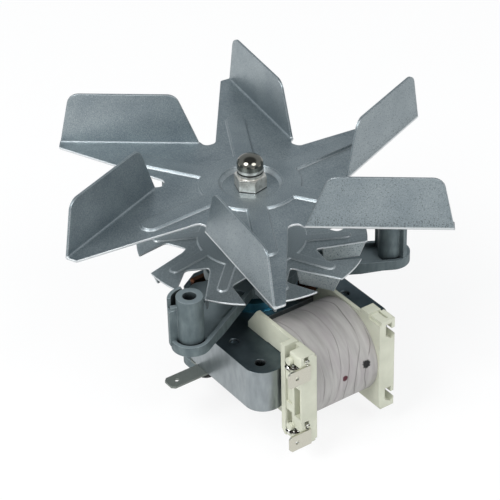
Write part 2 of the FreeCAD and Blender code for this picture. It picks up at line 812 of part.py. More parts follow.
def build_clip(node, end):
    """The spring washer that presses the bush into its seat."""
    body = new_body(node)
    near = from_bearing(end, "felt_front - felt_length - seat_clearance")
    far = from_bearing(end, "felt_front - felt_length - seat_clearance - clip_thickness")
    bore = "sqrt(bearing_ball_radius ^ 2 - (felt_length - felt_front) ^ 2) + seat_clearance"
    turned(body, "washer", [(bore, near), ("clip_radius", near), ("clip_radius", far), (bore, far)])


def housing(body, end):
    """The bearing housing: a turned boss with a spherical seat and a stepped recess."""
    closed = from_bearing(end, "housing_front")
    opening = from_bearing(end, "0 - housing_back")
    shoulder = from_bearing(end, "felt_front")
    ledge = from_bearing(end, "felt_front - felt_length - seat_clearance / 2")
    seat = "(bearing_ball_radius + seat_clearance)"
    throat = f"sqrt({seat} ^ 2 - felt_front ^ 2)"
    eye = from_bearing(end, f"sqrt({seat} ^ 2 - housing_eye_radius ^ 2)")
    feature = turned(body, "housing", [
        ("housing_eye_radius", eye),
        ("housing_eye_radius", closed),
        ("housing_radius", closed),
        ("housing_radius", opening),
        ("clip_radius + seat_clearance", opening),
        ("clip_radius + seat_clearance", ledge),
        ("felt_radius + seat_clearance", ledge),
        ("felt_radius + seat_clearance", shoulder),
        (throat, shoulder),
    ])
    return feature


def spherical_seat(body, end):
    """The bush's seat, cut last so that nothing fills it."""
    seat = body.newObject("PartDesign::SubtractiveSphere", "bush_seat")
    seat.AttachmentSupport = [(origin_feature(body, "XY_Plane"), "")]
    seat.MapMode = "FlatFace"
    seat.setExpression("Radius", bound("bearing_ball_radius + seat_clearance"))
    seat.setExpression("AttachmentOffset.Base.z", bound(end[0]))


def post_point(angle, along="post_circle", side="0"):
    """A point at a distance along a post's arm and to its left, as two expressions."""
    along_x, along_y = polar(along, angle)
    side_x, side_y = polar(side, f"{angle} + 90")
    return f"{along_x} + {side_x}", f"{along_y} + {side_y}"


def build_front_bracket():
    """Three tray-shaped arms on a bearing boss, each with a hollow post at its end."""
    body = new_body("front_bracket")
    housing(body, FRONT_END)
    web = new_sketch(body, "web_section", "XY_Plane", "tray_root_bottom")
    circle(web, "0", "0", "web_radius")
    circle(web, "0", "0", "housing_radius - tray_wall / 4")
    pad(body, web, "web", "tray_rim - tray_root_bottom")

    arm = new_sketch(body, "arm_section", "XY_Plane", "tray_bottom")
    root = "housing_radius"
    outline(arm, [
        post_point("90", root, "tray_half_width"),
        post_point("90", root, "0 - tray_half_width"),
        post_point("90", "post_circle", "0 - tray_end_half_width"),
        post_point("90", "post_circle", "tray_end_half_width"),
    ])
    arm_pad = pad(body, arm, "arm", "tray_rim - tray_bottom")
    deep = fold_sketch(body, "arm_root_profile", post_point("90", root), post_point("90"), "tray_root_bottom")
    outline(deep, [
        ("0", "0"),
        (f"tray_root_reach - {root}", "0"),
        (f"tray_root_end - {root}", "tray_bottom - tray_root_bottom"),
        ("0", "tray_bottom - tray_root_bottom"),
    ])
    deep_pad = pad(body, deep, "arm_root", "tray_half_width * 2 - tray_wall / 2", middle=True)
    end = new_sketch(body, "arm_end_section", "XY_Plane", "tray_bottom")
    circle(end, *post_point("90"), "tray_end_half_width")
    end_pad = pad(body, end, "arm_end", "tray_rim - tray_bottom")
    around(body, "arms", [arm_pad, deep_pad, end_pad], "3")

    tray = new_sketch(body, "tray_section", "XY_Plane", "tray_rim")
    outline(tray, [
        post_point("90", "web_radius + tray_wall", "tray_half_width - tray_wall"),
        post_point("90", "web_radius + tray_wall", "tray_wall - tray_half_width"),
        post_point("90", "post_circle", "tray_wall - tray_end_half_width"),
        post_point("90", "post_circle", "tray_end_half_width - tray_wall"),
    ])
    tray_cut = pocket(body, tray, "tray", "tray_rim - tray_floor")
    tray_end = new_sketch(body, "tray_end_section", "XY_Plane", "tray_rim")
    circle(tray_end, *post_point("90"), "tray_end_half_width - tray_wall")
    end_cut = pocket(body, tray_end, "tray_end", "tray_rim - tray_floor")
    around(body, "trays", [tray_cut, end_cut], "3")

    post = new_sketch(body, "post_section", "XY_Plane", "tray_floor")
    circle(post, *post_point("90"), "post_radius")
    post_pad = pad(body, post, "post", "0 - tray_floor")
    around(body, "posts", [post_pad], "3")
    hole = new_sketch(body, "post_hole_section", "XY_Plane", "0")
    circle(hole, *post_point("90"), "post_hole_radius")
    hole_cut = pocket(body, hole, "post_hole", "post_hole_depth")
    around(body, "post_holes", [hole_cut], "3")

    for name, angle, side in (("left", "210", "0 - "), ("right", "330", ""), ("rear", "90", "0 - ")):
        add_shield(body, name, angle, side)
        add_lug(body, name, side)
    spherical_seat(body, FRONT_END)


def add_shield(body, name, angle, side):
    """The curved wall beside a post, and the small rib on the post's other side."""
    centre_x, centre_y = post_point(angle)
    middle = f"{angle} + {side}(shield_start + shield_sweep / 2)"
    half = "shield_sweep / 2"
    sketch = new_sketch(body, f"{name}_shield_section", "XY_Plane", "tray_floor")
    ring_sector(sketch, centre_x, centre_y, "shield_inner", "shield_outer",
                f"{middle} - {half}", f"{middle} + {half}")
    pad(body, sketch, f"{name}_shield", "shield_top - tray_floor")
    low_middle = f"{angle} + {side}(shield_start + shield_low_sweep / 2 - shield_sweep / 20)"
    low_half = "(shield_low_sweep / 2 + shield_sweep / 20)"
    low = new_sketch(body, f"{name}_shield_low_section", "XY_Plane", "shield_top")
    ring_sector(low, centre_x, centre_y, "shield_inner - tray_wall / 4", "shield_outer + tray_wall / 4",
                f"{low_middle} - {low_half}", f"{low_middle} + {low_half}")
    pocket(body, low, f"{name}_shield_low", "shield_top - shield_low_top")
    nose_middle = f"{angle} + {side}(shield_start + nose_sweep / 2)"
    nose = new_sketch(body, f"{name}_nose_section", "XY_Plane", "tray_floor")
    ring_sector(nose, centre_x, centre_y, "post_radius * 0.9", "shield_outer - tray_wall / 4",
                f"{nose_middle} - nose_sweep / 2", f"{nose_middle} + nose_sweep / 2")
    pad(body, nose, f"{name}_nose", "shield_low_top + tray_wall / 4 - tray_floor")

    rib_turn = f"{angle} - {side}guide_rib_angle"
    out_x, out_y = polar("1", rib_turn)
    across_x, across_y = polar("guide_rib_thickness / 2", f"{rib_turn} + 90")
    corners = []
    for reach, edge in (("post_radius * 0.9", "-"), ("guide_rib_reach", "-"),
                        ("guide_rib_reach", "+"), ("post_radius * 0.9", "+")):
        corners.append((f"{centre_x} + {out_x} * {reach} {edge} {across_x}",
                        f"{centre_y} + {out_y} * {reach} {edge} {across_y}"))
    rib = new_sketch(body, f"{name}_guide_rib_section", "XY_Plane", "tray_floor")
    outline(rib, corners)
    pad(body, rib, f"{name}_guide_rib", "guide_rib_top - tray_floor")


def ring_sector(sketch, x, y, inner, outer, start, finish):
    """A closed sector of a ring: two arcs about one centre and two radial ends."""
    centre = FreeCAD.Vector(value(x), value(y), 0)
    normal = FreeCAD.Vector(0, 0, 1)
    begin = math.radians(value(start))
    end = math.radians(value(finish))
    arcs = []
    for radius in (outer, inner):
        arc = Part.ArcOfCircle(Part.Circle(centre, normal, value(radius)), begin, end)
        index = sketch.addGeometry(arc)
        arcs.append(index)
        size = sketch.addConstraint(Sketcher.Constraint("Radius", index, value(radius)))
        sketch.setExpression(f"Constraints[{size}]", bound(radius))
    hold(sketch, arcs[0], 3, x, y)
    sketch.addConstraint(Sketcher.Constraint("Coincident", arcs[0], 3, arcs[1], 3))
    for point, turn, text in ((1, begin, start), (2, end, finish)):
        away = FreeCAD.Vector(math.cos(turn), math.sin(turn), 0)
        line = Part.LineSegment(centre + away * value(inner), centre + away * value(outer))
        index = sketch.addGeometry(line)
        sketch.addConstraint(Sketcher.Constraint("Coincident", arcs[1], point, index, 1))
        sketch.addConstraint(Sketcher.Constraint("Coincident", index, 2, arcs[0], point))
        sketch.addConstraint(Sketcher.Constraint("PointOnObject", arcs[0], 3, index))
        tie = sketch.addConstraint(Sketcher.Constraint("Angle", index, turn))
        sketch.setExpression(f"Constraints[{tie}]", bound(f"({text}) * 1 deg"))


def add_lug(body, name, side):
    """A hollow leg down to the core for one clamp screw, tied to the boss by a web."""
    if name == "rear":
        return
    x = f"{side}screw_x"
    foot = new_sketch(body, f"{name}_lug_section", "XY_Plane", "stack_top")
    circle(foot, x, "screw_y", "lug_radius")
    pad(body, foot, f"{name}_lug", "tray_rim - stack_top")
    tie = new_sketch(body, f"{name}_lug_web_section", "XY_Plane", "tray_root_bottom")
    outline(tie, [
        (x, "screw_y - lug_radius * 0.8"),
        (x, "screw_y + lug_radius * 0.8"),
        (f"{side}housing_radius", "screw_y + lug_radius * 0.8"),
        (f"{side}housing_radius", "screw_y - lug_radius * 0.8"),
    ])
    pad(body, tie, f"{name}_lug_web", "tray_rim - tray_root_bottom")
    hole = new_sketch(body, f"{name}_lug_hole_section", "XY_Plane", "stack_top")
    circle(hole, x, "screw_y", "screw_radius + seat_clearance")
    pocket(body, hole, f"{name}_lug_hole", "screw_grip + screw_radius", reverse=True)


def build_rear_bracket():
    """A cast strap across the back of the core that carries the rear bearing."""
    body = new_body("rear_bracket")
    housing(body, REAR_END)
    lug_face = STACK_BOTTOM
    tab_face = f"({STACK_BOTTOM} - tab_thickness - seat_clearance)"
    lug_back = f"({STACK_BOTTOM} - strap_lug_thickness)"
    strap_face = f"({STACK_BOTTOM} - strap_drop)"
    strap_back = f"({strap_face} - strap_thickness)"
    side = new_sketch(body, "strap_profile", "XZ_Plane", "0 - strap_rear")
    outline(side, [
        ("0 - strap_half_width", tab_face),
        ("0 - strap_step_outer", tab_face),
        ("0 - strap_step_inner", strap_face),
        ("strap_step_inner", strap_face),
        ("strap_step_outer", lug_face),
        ("strap_half_width", lug_face),
        ("strap_half_width", lug_back),
        ("strap_step_outer + strap_thickness / 2", lug_back),
        ("strap_step_inner + strap_thickness / 2", strap_back),
        ("0 - strap_step_inner - strap_thickness / 2", strap_back),
        ("0 - strap_step_outer - strap_thickness / 2", lug_back),
        ("0 - strap_half_width", lug_back),
    ])
    pad(body, side, "strap", "strap_rear - strap_front")
    bore = new_sketch(body, "strap_bore_section", "XY_Plane", strap_face)
    circle(bore, "0", "0", "clip_radius + seat_clearance")
    pocket(body, bore, "strap_bore", "strap_thickness")
    for name, x in (("left", "0 - screw_x"), ("right", "screw_x")):
        hole = new_sketch(body, f"{name}_hole_section", "XY_Plane", STACK_BOTTOM)
        circle(hole, x, "screw_y", "screw_hole_radius")
        pocket(body, hole, f"{name}_hole", "strap_lug_thickness + screw_radius")
    soften(body, "strap_corners", "strap_corner",
           lambda middle, run, edge: upright(run) and close(abs(middle.x), "strap_half_width"))
    spherical_seat(body, REAR_END)


def build_clamp_screws():
    for node, x in (("clamp_screw_left", "0 - screw_x"), ("clamp_screw_right", "screw_x")):
        body = new_body(node)
        seat = f"({STACK_BOTTOM} - strap_lug_thickness)"
        shank = new_sketch(body, "shank_section", "XY_Plane", seat)
        circle(shank, x, "screw_y", "screw_radius")
        pad(body, shank, "shank", "strap_lug_thickness + stack_height + screw_grip")
        head = new_sketch(body, "head_section", "XY_Plane", f"{seat} - screw_head_height")
        circle(head, x, "screw_y", "screw_head_radius")
        pad(body, head, "head", "screw_head_height")
        under = f"{seat} - screw_head_height"
        soften(body, "head_round", "screw_head_round", lambda middle, run, edge: close(middle.z, under))
        slot = new_sketch(body, "recess_section", "XY_Plane", under)
        outline(slot, cross(x, "screw_y", "screw_recess", "screw_recess / 4"))
        pocket(body, slot, "recess", "screw_head_height / 2", reverse=True)


def cross(x, y, reach, half):
    """A plus-shaped outline of twelve corners round a centre."""
    steps = [(reach, half), (half, half), (half, reach)]
    corners = []
    for across, up in ((1, 1), (-1, 1), (-1, -1), (1, -1)):
        quarter = steps if across * up > 0 else steps[::-1]
        for right, top in quarter:
            corners.append((f"{x} + {across} * ({right})", f"{y} + {up} * ({top})"))
    return corners


def build_earth_tab():
    """A push-on earth tab that is held under the left clamp screw."""
    body = new_body("earth_tab")
    under = f"({STACK_BOTTOM} - tab_thickness)"
    ring = new_sketch(body, "ring_section", "XY_Plane", under)
    circle(ring, "0 - screw_x", "screw_y", "tab_ring_radius")
    pad(body, ring, "ring", "tab_thickness")
    tongue = new_sketch(body, "tongue_section", "XY_Plane", under)
    outline(tongue, [
        ("0 - screw_x", "tab_y - tab_width / 2"),
        ("0 - screw_x", "tab_y + tab_width / 2"),
        ("tab_end + tab_point", "tab_y + tab_width / 2"),
        ("tab_end", "tab_y + tab_width / 2 - tab_point"),
        ("tab_end", "tab_y - tab_width / 2 + tab_point"),
        ("tab_end + tab_point", "tab_y - tab_width / 2"),
    ])
    pad(body, tongue, "tongue", "tab_thickness")
    holes = new_sketch(body, "hole_section", "XY_Plane", STACK_BOTTOM)
    circle(holes, "0 - screw_x", "screw_y", "screw_hole_radius")
    circle(holes, "tab_hole_x", "tab_y", "tab_hole_radius")
    pocket(body, holes, "holes", "tab_thickness * 2")


# Core and coil

RINGS = {
    "shading_ring_left_first": ("first", "0"),
    "shading_ring_left_second": ("second", "0"),
    "shading_ring_right_first": ("first", "180"),
    "shading_ring_right_second": ("second", "180"),
}


def ring_legs(order, turn):
    """The middles of a shading ring's two legs."""
    outer = "ring_outer_circle" if order == "first" else "second_ring_reach"
    inner_leg = polar("ring_inner_circle", f"{order}_ring_inner_angle + {turn}")
    outer_leg = polar(outer, f"{order}_ring_outer_angle + {turn}")
    return inner_leg, outer_leg


def square_round(centre, towards, half):
    """A square of half-width half about centre, turned to face towards."""
    x, y = centre
    along = value(f"({towards[0]}) - ({x})")
    across = value(f"({towards[1]}) - ({y})")
    turn = f"{math.degrees(math.atan2(across, along)):.6f}"
    corners = []
    for quarter in range(4):
        step_x, step_y = polar(f"({half}) * sqrt(2)", f"{turn} + 45 + 90 * {quarter}")
        corners.append((f"{x} + {step_x}", f"{y} + {step_y}"))
    return corners


def build_stator_core():
    """The laminated stack: two legs beside the coil, and the poles round the rotor."""
    body = new_body("stator_core")
    stack = new_sketch(body, "lamination", "XY_Plane", STACK_BOTTOM)
    half = [
        ("window_half_width", "window_rear"),
        ("window_half_width", "leg_front"),
        ("core_half_width", "leg_front"),
        ("core_half_width", "shoulder_rear"),
        ("neck_half_width", "shoulder_rear"),
        ("neck_half_width", "neck_side_rear"),
        ("neck_rear_half_width", "neck_rear"),
    ]
    outline(stack, half + [(f"0 - {x}", y) for x, y in reversed(half)])
    pad(body, stack, "stack", "stack_height")
    bore = new_sketch(body, "bore_section", "XY_Plane", "stack_top")
    circle(bore, "0", "0", "rotor_radius + rotor_gap")
    for x in ("0 - screw_x", "screw_x"):
        circle(bore, x, "screw_y", "screw_hole_radius")
    for x in ("0 - leg_hole_x", "leg_hole_x"):
        circle(bore, x, "leg_hole_y", "leg_hole_radius")
    pocket(body, bore, "bores", "stack_height")
    for node, (order, turn) in RINGS.items():
        legs = ring_legs(order, turn)
        slots = new_sketch(body, f"{node}_slots", "XY_Plane", "stack_top")
        for leg, other in (legs, legs[::-1]):
            outline(slots, square_round(leg, other, "ring_wire / 2 + slot_clearance"))
        pocket(body, slots, f"{node}_slot_cut", "stack_height")
    dimples = new_sketch(body, "dimple_section", "XY_Plane", "stack_top")
    for x in ("0 - dimple_x", "dimple_x"):
        circle(dimples, x, "dimple_y", "dimple_radius")
    pocket(body, dimples, "dimples", "dimple_depth")

    def leg_end(middle, run, edge):
        return upright(run) and close(middle.y, "leg_front")

    def shoulder(middle, run, edge):
        return upright(run) and close(middle.y, "shoulder_rear") and close(abs(middle.x), "core_half_width")

    def neck(middle, run, edge):
        return upright(run) and close(middle.y, "neck_side_rear")

    soften(body, "leg_ends", "(core_half_width - window_half_width) / 2 * 0.98", leg_end)
    soften(body, "shoulders", "shoulder_round", shoulder)
    soften(body, "neck_rounds", "neck_round", neck)


def build_yoke():
    """The laminated bar that closes the core through the coil."""
    body = new_body("coil_yoke")
    bar = new_sketch(body, "lamination", "XY_Plane", STACK_BOTTOM)
    outline(bar, [
        ("0 - window_half_width + seat_clearance", "leg_front"),
        ("window_half_width - seat_clearance", "leg_front"),
        ("window_half_width - seat_clearance", "yoke_rear"),
        ("0 - window_half_width + seat_clearance", "yoke_rear"),
    ])
    pad(body, bar, "stack", "stack_height")


def ring_bend(middle, run, edge):
    """True for the outside edges across the wire at a ring's four corners."""
    top = value("stack_top + ring_rise")
    bottom = value(f"{STACK_BOTTOM} - ring_rise")
    level = abs(run.z) < ZERO and close(edge.Length, "ring_wire")
    return level and min(abs(middle.z - top), abs(middle.z - bottom)) < 0.01


def build_shading_rings():
    """Each ring is a closed copper frame, its legs through the core."""
    for node, (order, turn) in RINGS.items():
        (inner_x, inner_y), (outer_x, outer_y) = ring_legs(order, turn)
        body = new_body(node)
        inner, outer = (inner_x, inner_y), (outer_x, outer_y)
        frame = fold_sketch(body, "frame_section", inner, outer, "stack_top")
        span = fold_length(inner, outer)
        half = "ring_wire / 2"
        low = "0 - stack_height - ring_rise"
        outline(frame, [(f"0 - {half}", low), (f"{span} + {half}", low),
                        (f"{span} + {half}", "ring_rise"), (f"0 - {half}", "ring_rise")])
        outline(frame, [(half, f"{low} + ring_wire"), (f"{span} - {half}", f"{low} + ring_wire"),
                        (f"{span} - {half}", "ring_rise - ring_wire"), (half, "ring_rise - ring_wire")])
        pad(body, frame, "frame", "ring_wire", middle=True)
        soften(body, "bends", "ring_corner", ring_bend)


FLANGE_INSIDE = "(window_half_width - flange_gap - flange_thickness)"


def build_bobbin():
    """The moulded bobbin: a square tube, two flanges and the two terminal holders."""
    body = new_body("bobbin")
    flange = new_sketch(body, "flange_section", "YZ_Plane", f"0 - {FLANGE_INSIDE} - flange_thickness")
    outline(flange, flange_outline())
    pad(body, flange, "near_flange", "flange_thickness")
    tube = new_sketch(body, "tube_section", "YZ_Plane", "0")
    outline(tube, yoke_section("slot_clearance + bobbin_wall"))
    pad(body, tube, "tube", f"2 * {FLANGE_INSIDE} + flange_thickness", middle=True)
    far_flange = new_sketch(body, "far_flange_section", "YZ_Plane", FLANGE_INSIDE)
    outline(far_flange, flange_outline())
    pad(body, far_flange, "far_flange", "flange_thickness")
    for name, sign in (("near", "0 - "), ("far", "")):
        add_holder(body, name, sign)
    tunnel = new_sketch(body, "tunnel_section", "YZ_Plane", "0")
    outline(tunnel, yoke_section("slot_clearance"))
    pocket(body, tunnel, "tunnel", "4 * window_half_width", middle=True)
    carve_near_holder(body)
    for order in ("upper", "lower"):
        add_terminal_slot(body, order)
    for name, drop in (("upper", "0"), ("lower", "hook_pitch")):
        hook = new_sketch(body, f"{name}_hook_section", "XZ_Plane", "0 - holder_front")
        left = "window_half_width + hook_left"
        middle = "window_half_width + hook_middle"
        right = "window_half_width + holder_reach * 1.1"
        outline(hook, [
            (left, f"hook_top - {drop}"),
            (middle, f"hook_top - {drop}"),
            (middle, f"hook_upper_step - {drop}"),
            (right, f"hook_upper_step - {drop}"),
            (right, f"hook_lower_step - {drop}"),
            (middle, f"hook_bottom - {drop}"),
            (left, f"hook_lower_step - {drop}"),
        ])
        pocket(body, hook, f"{name}_hook", "hook_depth")


def side_cut(body, name, reach, depth, corners):
    """A cut into the near holder's outer side, its outline seen along the coil."""
    sketch = new_sketch(body, f"{name}_section", "YZ_Plane", f"0 - window_half_width - ({reach})")
    outline(sketch, corners)
    pocket(body, sketch, name, depth, reverse=True)


def rectangle(left, right, bottom, top):
    return [(left, bottom), (right, bottom), (right, top), (left, top)]


def carve_near_holder(body):
    """The gap, bays, recesses, corner pocket and small holes of the near holder."""
    front = "holder_front - slot_clearance"
    side_cut(body, "block_gap", "strip_reach", "gap_depth",
             rectangle("gap_front", "strip_front", "gap_bottom", "strip_top + strip_bevel"))
    side_cut(body, "recess", "strip_reach", "recess_depth",
             rectangle("recess_front", "strip_front", "recess_bottom", "recess_top"))
    side_cut(body, "cavity", "strip_reach", "cavity_depth",
             rectangle("recess_front", "cavity_rear", "lower_terminal_top - bay_lift", "cavity_top"))
    side_cut(body, "corner_pocket", "holder_reach", "corner_depth",
             rectangle("holder_front + corner_wall", "corner_rear", "corner_bottom", "corner_top"))
    for order in ("upper", "lower"):
        top = f"{order}_terminal_top - bay_lift"
        side_cut(body, f"{order}_bay", "holder_reach", "bay_depth",
                 rectangle(front, "bay_rear", f"{top} - bay_height", top))
        eye = new_sketch(body, f"{order}_eye_section", "XZ_Plane", "0 - holder_front")
        right = "0 - window_half_width - eye_reach"
        outline(eye, rectangle(f"{right} - eye_width", right, f"{order}_terminal_top + eye_lift",
                               f"{order}_terminal_top + eye_lift + eye_width"))
        pocket(body, eye, f"{order}_eye", "eye_depth")


def flange_outline():
    """One flange seen along the coil, with its rear top and bottom corners bevelled."""
    return [
        ("flange_front", "flange_bottom"),
        ("flange_rear - flange_bevel_run", "flange_bottom"),
        ("flange_rear", "flange_bottom + flange_bevel_fall"),
        ("flange_rear", "flange_top - flange_bevel_fall"),
        ("flange_rear - flange_bevel_run", "flange_top"),
        ("flange_front", "flange_top"),
    ]


def yoke_section(margin):
    """The yoke's section seen along the coil, grown by a margin on every side."""
    return [
        (f"leg_front - ({margin})", f"{STACK_BOTTOM} - ({margin})"),
        (f"yoke_rear + ({margin})", f"{STACK_BOTTOM} - ({margin})"),
        (f"yoke_rear + ({margin})", f"stack_top + ({margin})"),
        (f"leg_front - ({margin})", f"stack_top + ({margin})"),
    ]


def add_holder(body, name, sign):
    """A terminal holder: a tall bar beside the flange, with a strip and pegs or a wire guide."""
    inside = f"{sign}({FLANGE_INSIDE} + flange_thickness / 2)"
    bar = new_sketch(body, f"{name}_bar_section", "XY_Plane", "holder_bottom")
    rear = "strip_rear" if name == "near" else "far_holder_rear"
    outline(bar, rectangle(inside, f"{sign}(window_half_width + holder_reach)", "holder_front", rear))
    pad(body, bar, f"{name}_bar", "holder_top - holder_bottom")
    side = f"({sign}(window_half_width + holder_reach))"
    soften(body, f"{name}_bar_rounds", "moulding_round",
           lambda middle, run, edge: close(middle.x, side) and edge.Length > value("holder_reach"))
    if name == "near":
        strip = new_sketch(body, "strip_section", "YZ_Plane", "0 - window_half_width - strip_reach")
        outline(strip, [
            ("strip_front", "holder_bottom"),
            ("strip_rear - strip_bevel", "holder_bottom"),
            ("strip_rear", "holder_bottom + strip_bevel"),
            ("strip_rear", "strip_top"),
            ("strip_front", "strip_top"),
        ])
        pad(body, strip, "strip", "strip_reach")
        for end, level in (("upper", "holder_top - peg_inset"), ("lower", "holder_bottom + peg_inset * 2")):
            peg = new_sketch(body, f"{end}_peg_section", "YZ_Plane",
                             "0 - window_half_width - holder_reach - peg_length")
            circle(peg, "peg_y", level, "peg_radius")
            pad(body, peg, f"{end}_peg", "peg_length + holder_reach / 2")
    else:
        guide = new_sketch(body, "guide_section", "YZ_Plane", FLANGE_INSIDE)
        outline(guide, rectangle("far_holder_rear", "guide_rear", "guide_bottom", "guide_top"))
        pad(body, guide, "guide", "guide_reach + flange_thickness")
        slit = new_sketch(body, "guide_slit_section", "XZ_Plane", "0 - far_holder_rear")
        left = "window_half_width + guide_slit_reach"
        outline(slit, rectangle(left, f"{left} + guide_slit", "guide_top - guide_slit_depth",
                                "guide_top + slot_clearance"))
        pocket(body, slit, "guide_slit", "guide_rear - far_holder_rear + slot_clearance", reverse=True)


def terminal_middle(order):
    return f"({order}_terminal_top - terminal_width / 2)"


FOOT_LEFT = "(0 - window_half_width - foot_reach)"


def add_terminal_slot(body, order):
    """The slot that a terminal's foot is pushed into from the front."""
    slot = new_sketch(body, f"{order}_slot_section", "XZ_Plane", "0 - holder_front")
    middle = terminal_middle(order)
    reach = "(terminal_foot_half_height + slot_clearance)"
    left = f"{FOOT_LEFT} - slot_clearance"
    right = f"{FOOT_LEFT} + blade_thickness + slot_clearance"
    outline(slot, rectangle(left, right, f"{middle} - {reach}", f"{middle} + {reach}"))
    pocket(body, slot, f"{order}_slot", "terminal_foot_depth + slot_clearance")


def build_terminal(order):
    """A push-on blade in front of the bobbin, with a foot bent back into its holder."""
    body = new_body(f"terminal_{order}")
    top = f"{order}_terminal_top"
    bottom = f"{top} - terminal_width"
    back = "0 - holder_front"
    root = "0 - window_half_width - terminal_root"
    tip = "0 - window_half_width - terminal_reach"
    blade = new_sketch(body, "blade_section", "XZ_Plane", back)
    outline(blade, [
        (root, top),
        (root, bottom),
        (f"{tip} + terminal_point", bottom),
        (tip, f"{bottom} + terminal_point"),
        (tip, f"{top} - terminal_point"),
        (f"{tip} + terminal_point", top),
    ])
    hole_x = f"0 - window_half_width - {order}_terminal_hole"
    circle(blade, hole_x, terminal_middle(order), "terminal_hole_radius")
    pad(body, blade, "blade", "blade_thickness")
    middle = terminal_middle(order)
    foot = new_sketch(body, "foot_section", "XZ_Plane", back)
    reach = "terminal_foot_half_height"
    outline(foot, rectangle(FOOT_LEFT, f"{FOOT_LEFT} + blade_thickness",
                            f"{middle} - {reach}", f"{middle} + {reach}"))
    pad(body, foot, "foot", "terminal_foot_depth", reverse=True)


def build_coil():
    """The winding and the tape round it, both oval along the coil."""
    middle = f"({STACK_BOTTOM} + stack_height / 2)"
    length = f"2 * ({FLANGE_INSIDE} - seat_clearance)"
    winding = new_body("coil_winding")
    section = new_sketch(winding, "winding_section", "YZ_Plane", "0")
    ellipse(section, "coil_y", middle, "coil_half_depth", "coil_half_height")
    pad(winding, section, "turns", length, middle=True)
    tunnel = new_sketch(winding, "tunnel_section", "YZ_Plane", "0")
    outline(tunnel, yoke_section("slot_clearance + bobbin_wall + seat_clearance"))
    pocket(winding, tunnel, "tunnel", "4 * window_half_width", middle=True)
    tape = new_body("coil_tape")
    outside = new_sketch(tape, "outer_section", "YZ_Plane", "0")
    ellipse(outside, "coil_y", middle, "coil_half_depth + seat_clearance + tape_thickness",
            "coil_half_height + seat_clearance + tape_thickness")
    pad(tape, outside, "wrap", length, middle=True)
    inside = new_sketch(tape, "inner_section", "YZ_Plane", "0")
    ellipse(inside, "coil_y", middle, "coil_half_depth + seat_clearance",
            "coil_half_height + seat_clearance")
    pocket(tape, inside, "hollow", "4 * window_half_width", middle=True)


def check_and_write():
    """Stop on any failed feature, then write each piece to its own file."""
    doc.recompute()
    for item in doc.Objects:
        if "Invalid" in item.State or "Error" in item.State:
            raise RuntimeError(f"{item.Name} failed: {item.State}")
    os.makedirs("parts", exist_ok=True)
    for piece in pieces:
        shape = piece.Shape
        if shape.isNull() or not shape.isValid():
            raise RuntimeError(f"{piece.Label} has no valid shape")
        shape.exportStep(f"parts/{piece.Label}.step")
        print(f"{piece.Label}: {len(shape.Solids)} solid, {shape.Volume / 1000:.3f} cm3")


build_stator_core()
build_yoke()
build_shading_rings()
build_bobbin()
build_coil()
build_terminal("upper")
build_terminal("lower")
build_front_bracket()
build_bearing("front_bearing", FRONT_END)
build_felt("front_oil_felt", FRONT_END)
build_clip("front_bearing_clip", FRONT_END)
build_rear_bracket()
build_bearing("rear_bearing", REAR_END)
build_felt("rear_oil_felt", REAR_END)
build_clip("rear_bearing_clip", REAR_END)
build_clamp_screws()
build_earth_tab()
build_shaft()
build_rotor_core()
build_rotor_cage()
build_sleeves()
build_cooling_fan_hub()
build_cooling_fan()
build_main_fan()
build_dome_nut()
check_and_write()
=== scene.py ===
"""Looks of an oven fan motor: pressed steel fans, cast bracket, laminated core, bobbin and coil."""

import math

import bpy
import numpy as np
from mathutils import Matrix, Vector


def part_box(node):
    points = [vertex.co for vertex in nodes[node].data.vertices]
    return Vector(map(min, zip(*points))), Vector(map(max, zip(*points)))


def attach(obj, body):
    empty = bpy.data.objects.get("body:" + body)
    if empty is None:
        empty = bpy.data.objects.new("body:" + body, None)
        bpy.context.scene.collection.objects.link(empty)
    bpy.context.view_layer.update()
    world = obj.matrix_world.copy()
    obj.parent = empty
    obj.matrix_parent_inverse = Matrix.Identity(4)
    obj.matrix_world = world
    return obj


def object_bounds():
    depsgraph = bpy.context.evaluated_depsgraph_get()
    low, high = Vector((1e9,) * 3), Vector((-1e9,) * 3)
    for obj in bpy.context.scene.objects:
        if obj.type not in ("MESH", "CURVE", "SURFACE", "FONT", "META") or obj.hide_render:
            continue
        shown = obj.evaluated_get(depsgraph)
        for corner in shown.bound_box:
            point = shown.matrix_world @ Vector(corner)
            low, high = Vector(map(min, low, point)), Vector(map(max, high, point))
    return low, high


MM = 0.001

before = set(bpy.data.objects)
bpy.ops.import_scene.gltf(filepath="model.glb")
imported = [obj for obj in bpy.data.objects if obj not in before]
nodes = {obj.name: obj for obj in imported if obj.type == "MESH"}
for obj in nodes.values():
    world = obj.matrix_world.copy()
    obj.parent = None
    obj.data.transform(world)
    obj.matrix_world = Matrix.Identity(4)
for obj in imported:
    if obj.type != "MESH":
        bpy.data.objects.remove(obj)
cad_low, cad_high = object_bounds()

# Camera, worked out from the fan's corners, the posts and the core
CAMERA_PLACE = (-348.6 * MM, -506.8 * MM, 401.7 * MM)
CAMERA_AZIMUTH = -34.45
CAMERA_ELEVATION = 33.94
CAMERA_ROLL = -1.49
CAMERA_LENS = 150.9
CAMERA_CLIP = (0.05, 20.0)
SENSOR_WIDTH = 36.0

# A pale room with a darker ceiling, which begins and is full at two values of a direction's upward part
ROOM_COLOUR = "#e6edf2"
ROOM_STRENGTH = 0.62
CEILING_STRENGTH = 0.15
CEILING_FROM = 0.70
CEILING_FULL = 0.85

# Round lamps: how far each turns from the camera and rises, in degrees, and its power in watts
LAMPS = (("left_lamp", -49, 49, 14), ("right_lamp", 42, 46, 6.5))
LAMP_DISTANCE = 1.3
LAMP_WIDTH = 0.74

FLOOR_GAP = 0.2 * MM
FLOOR_SIZE = 6.0
FLOOR_COLOUR = "#f8f8f8"
FLOOR_WHITE_SHARE = 0.85

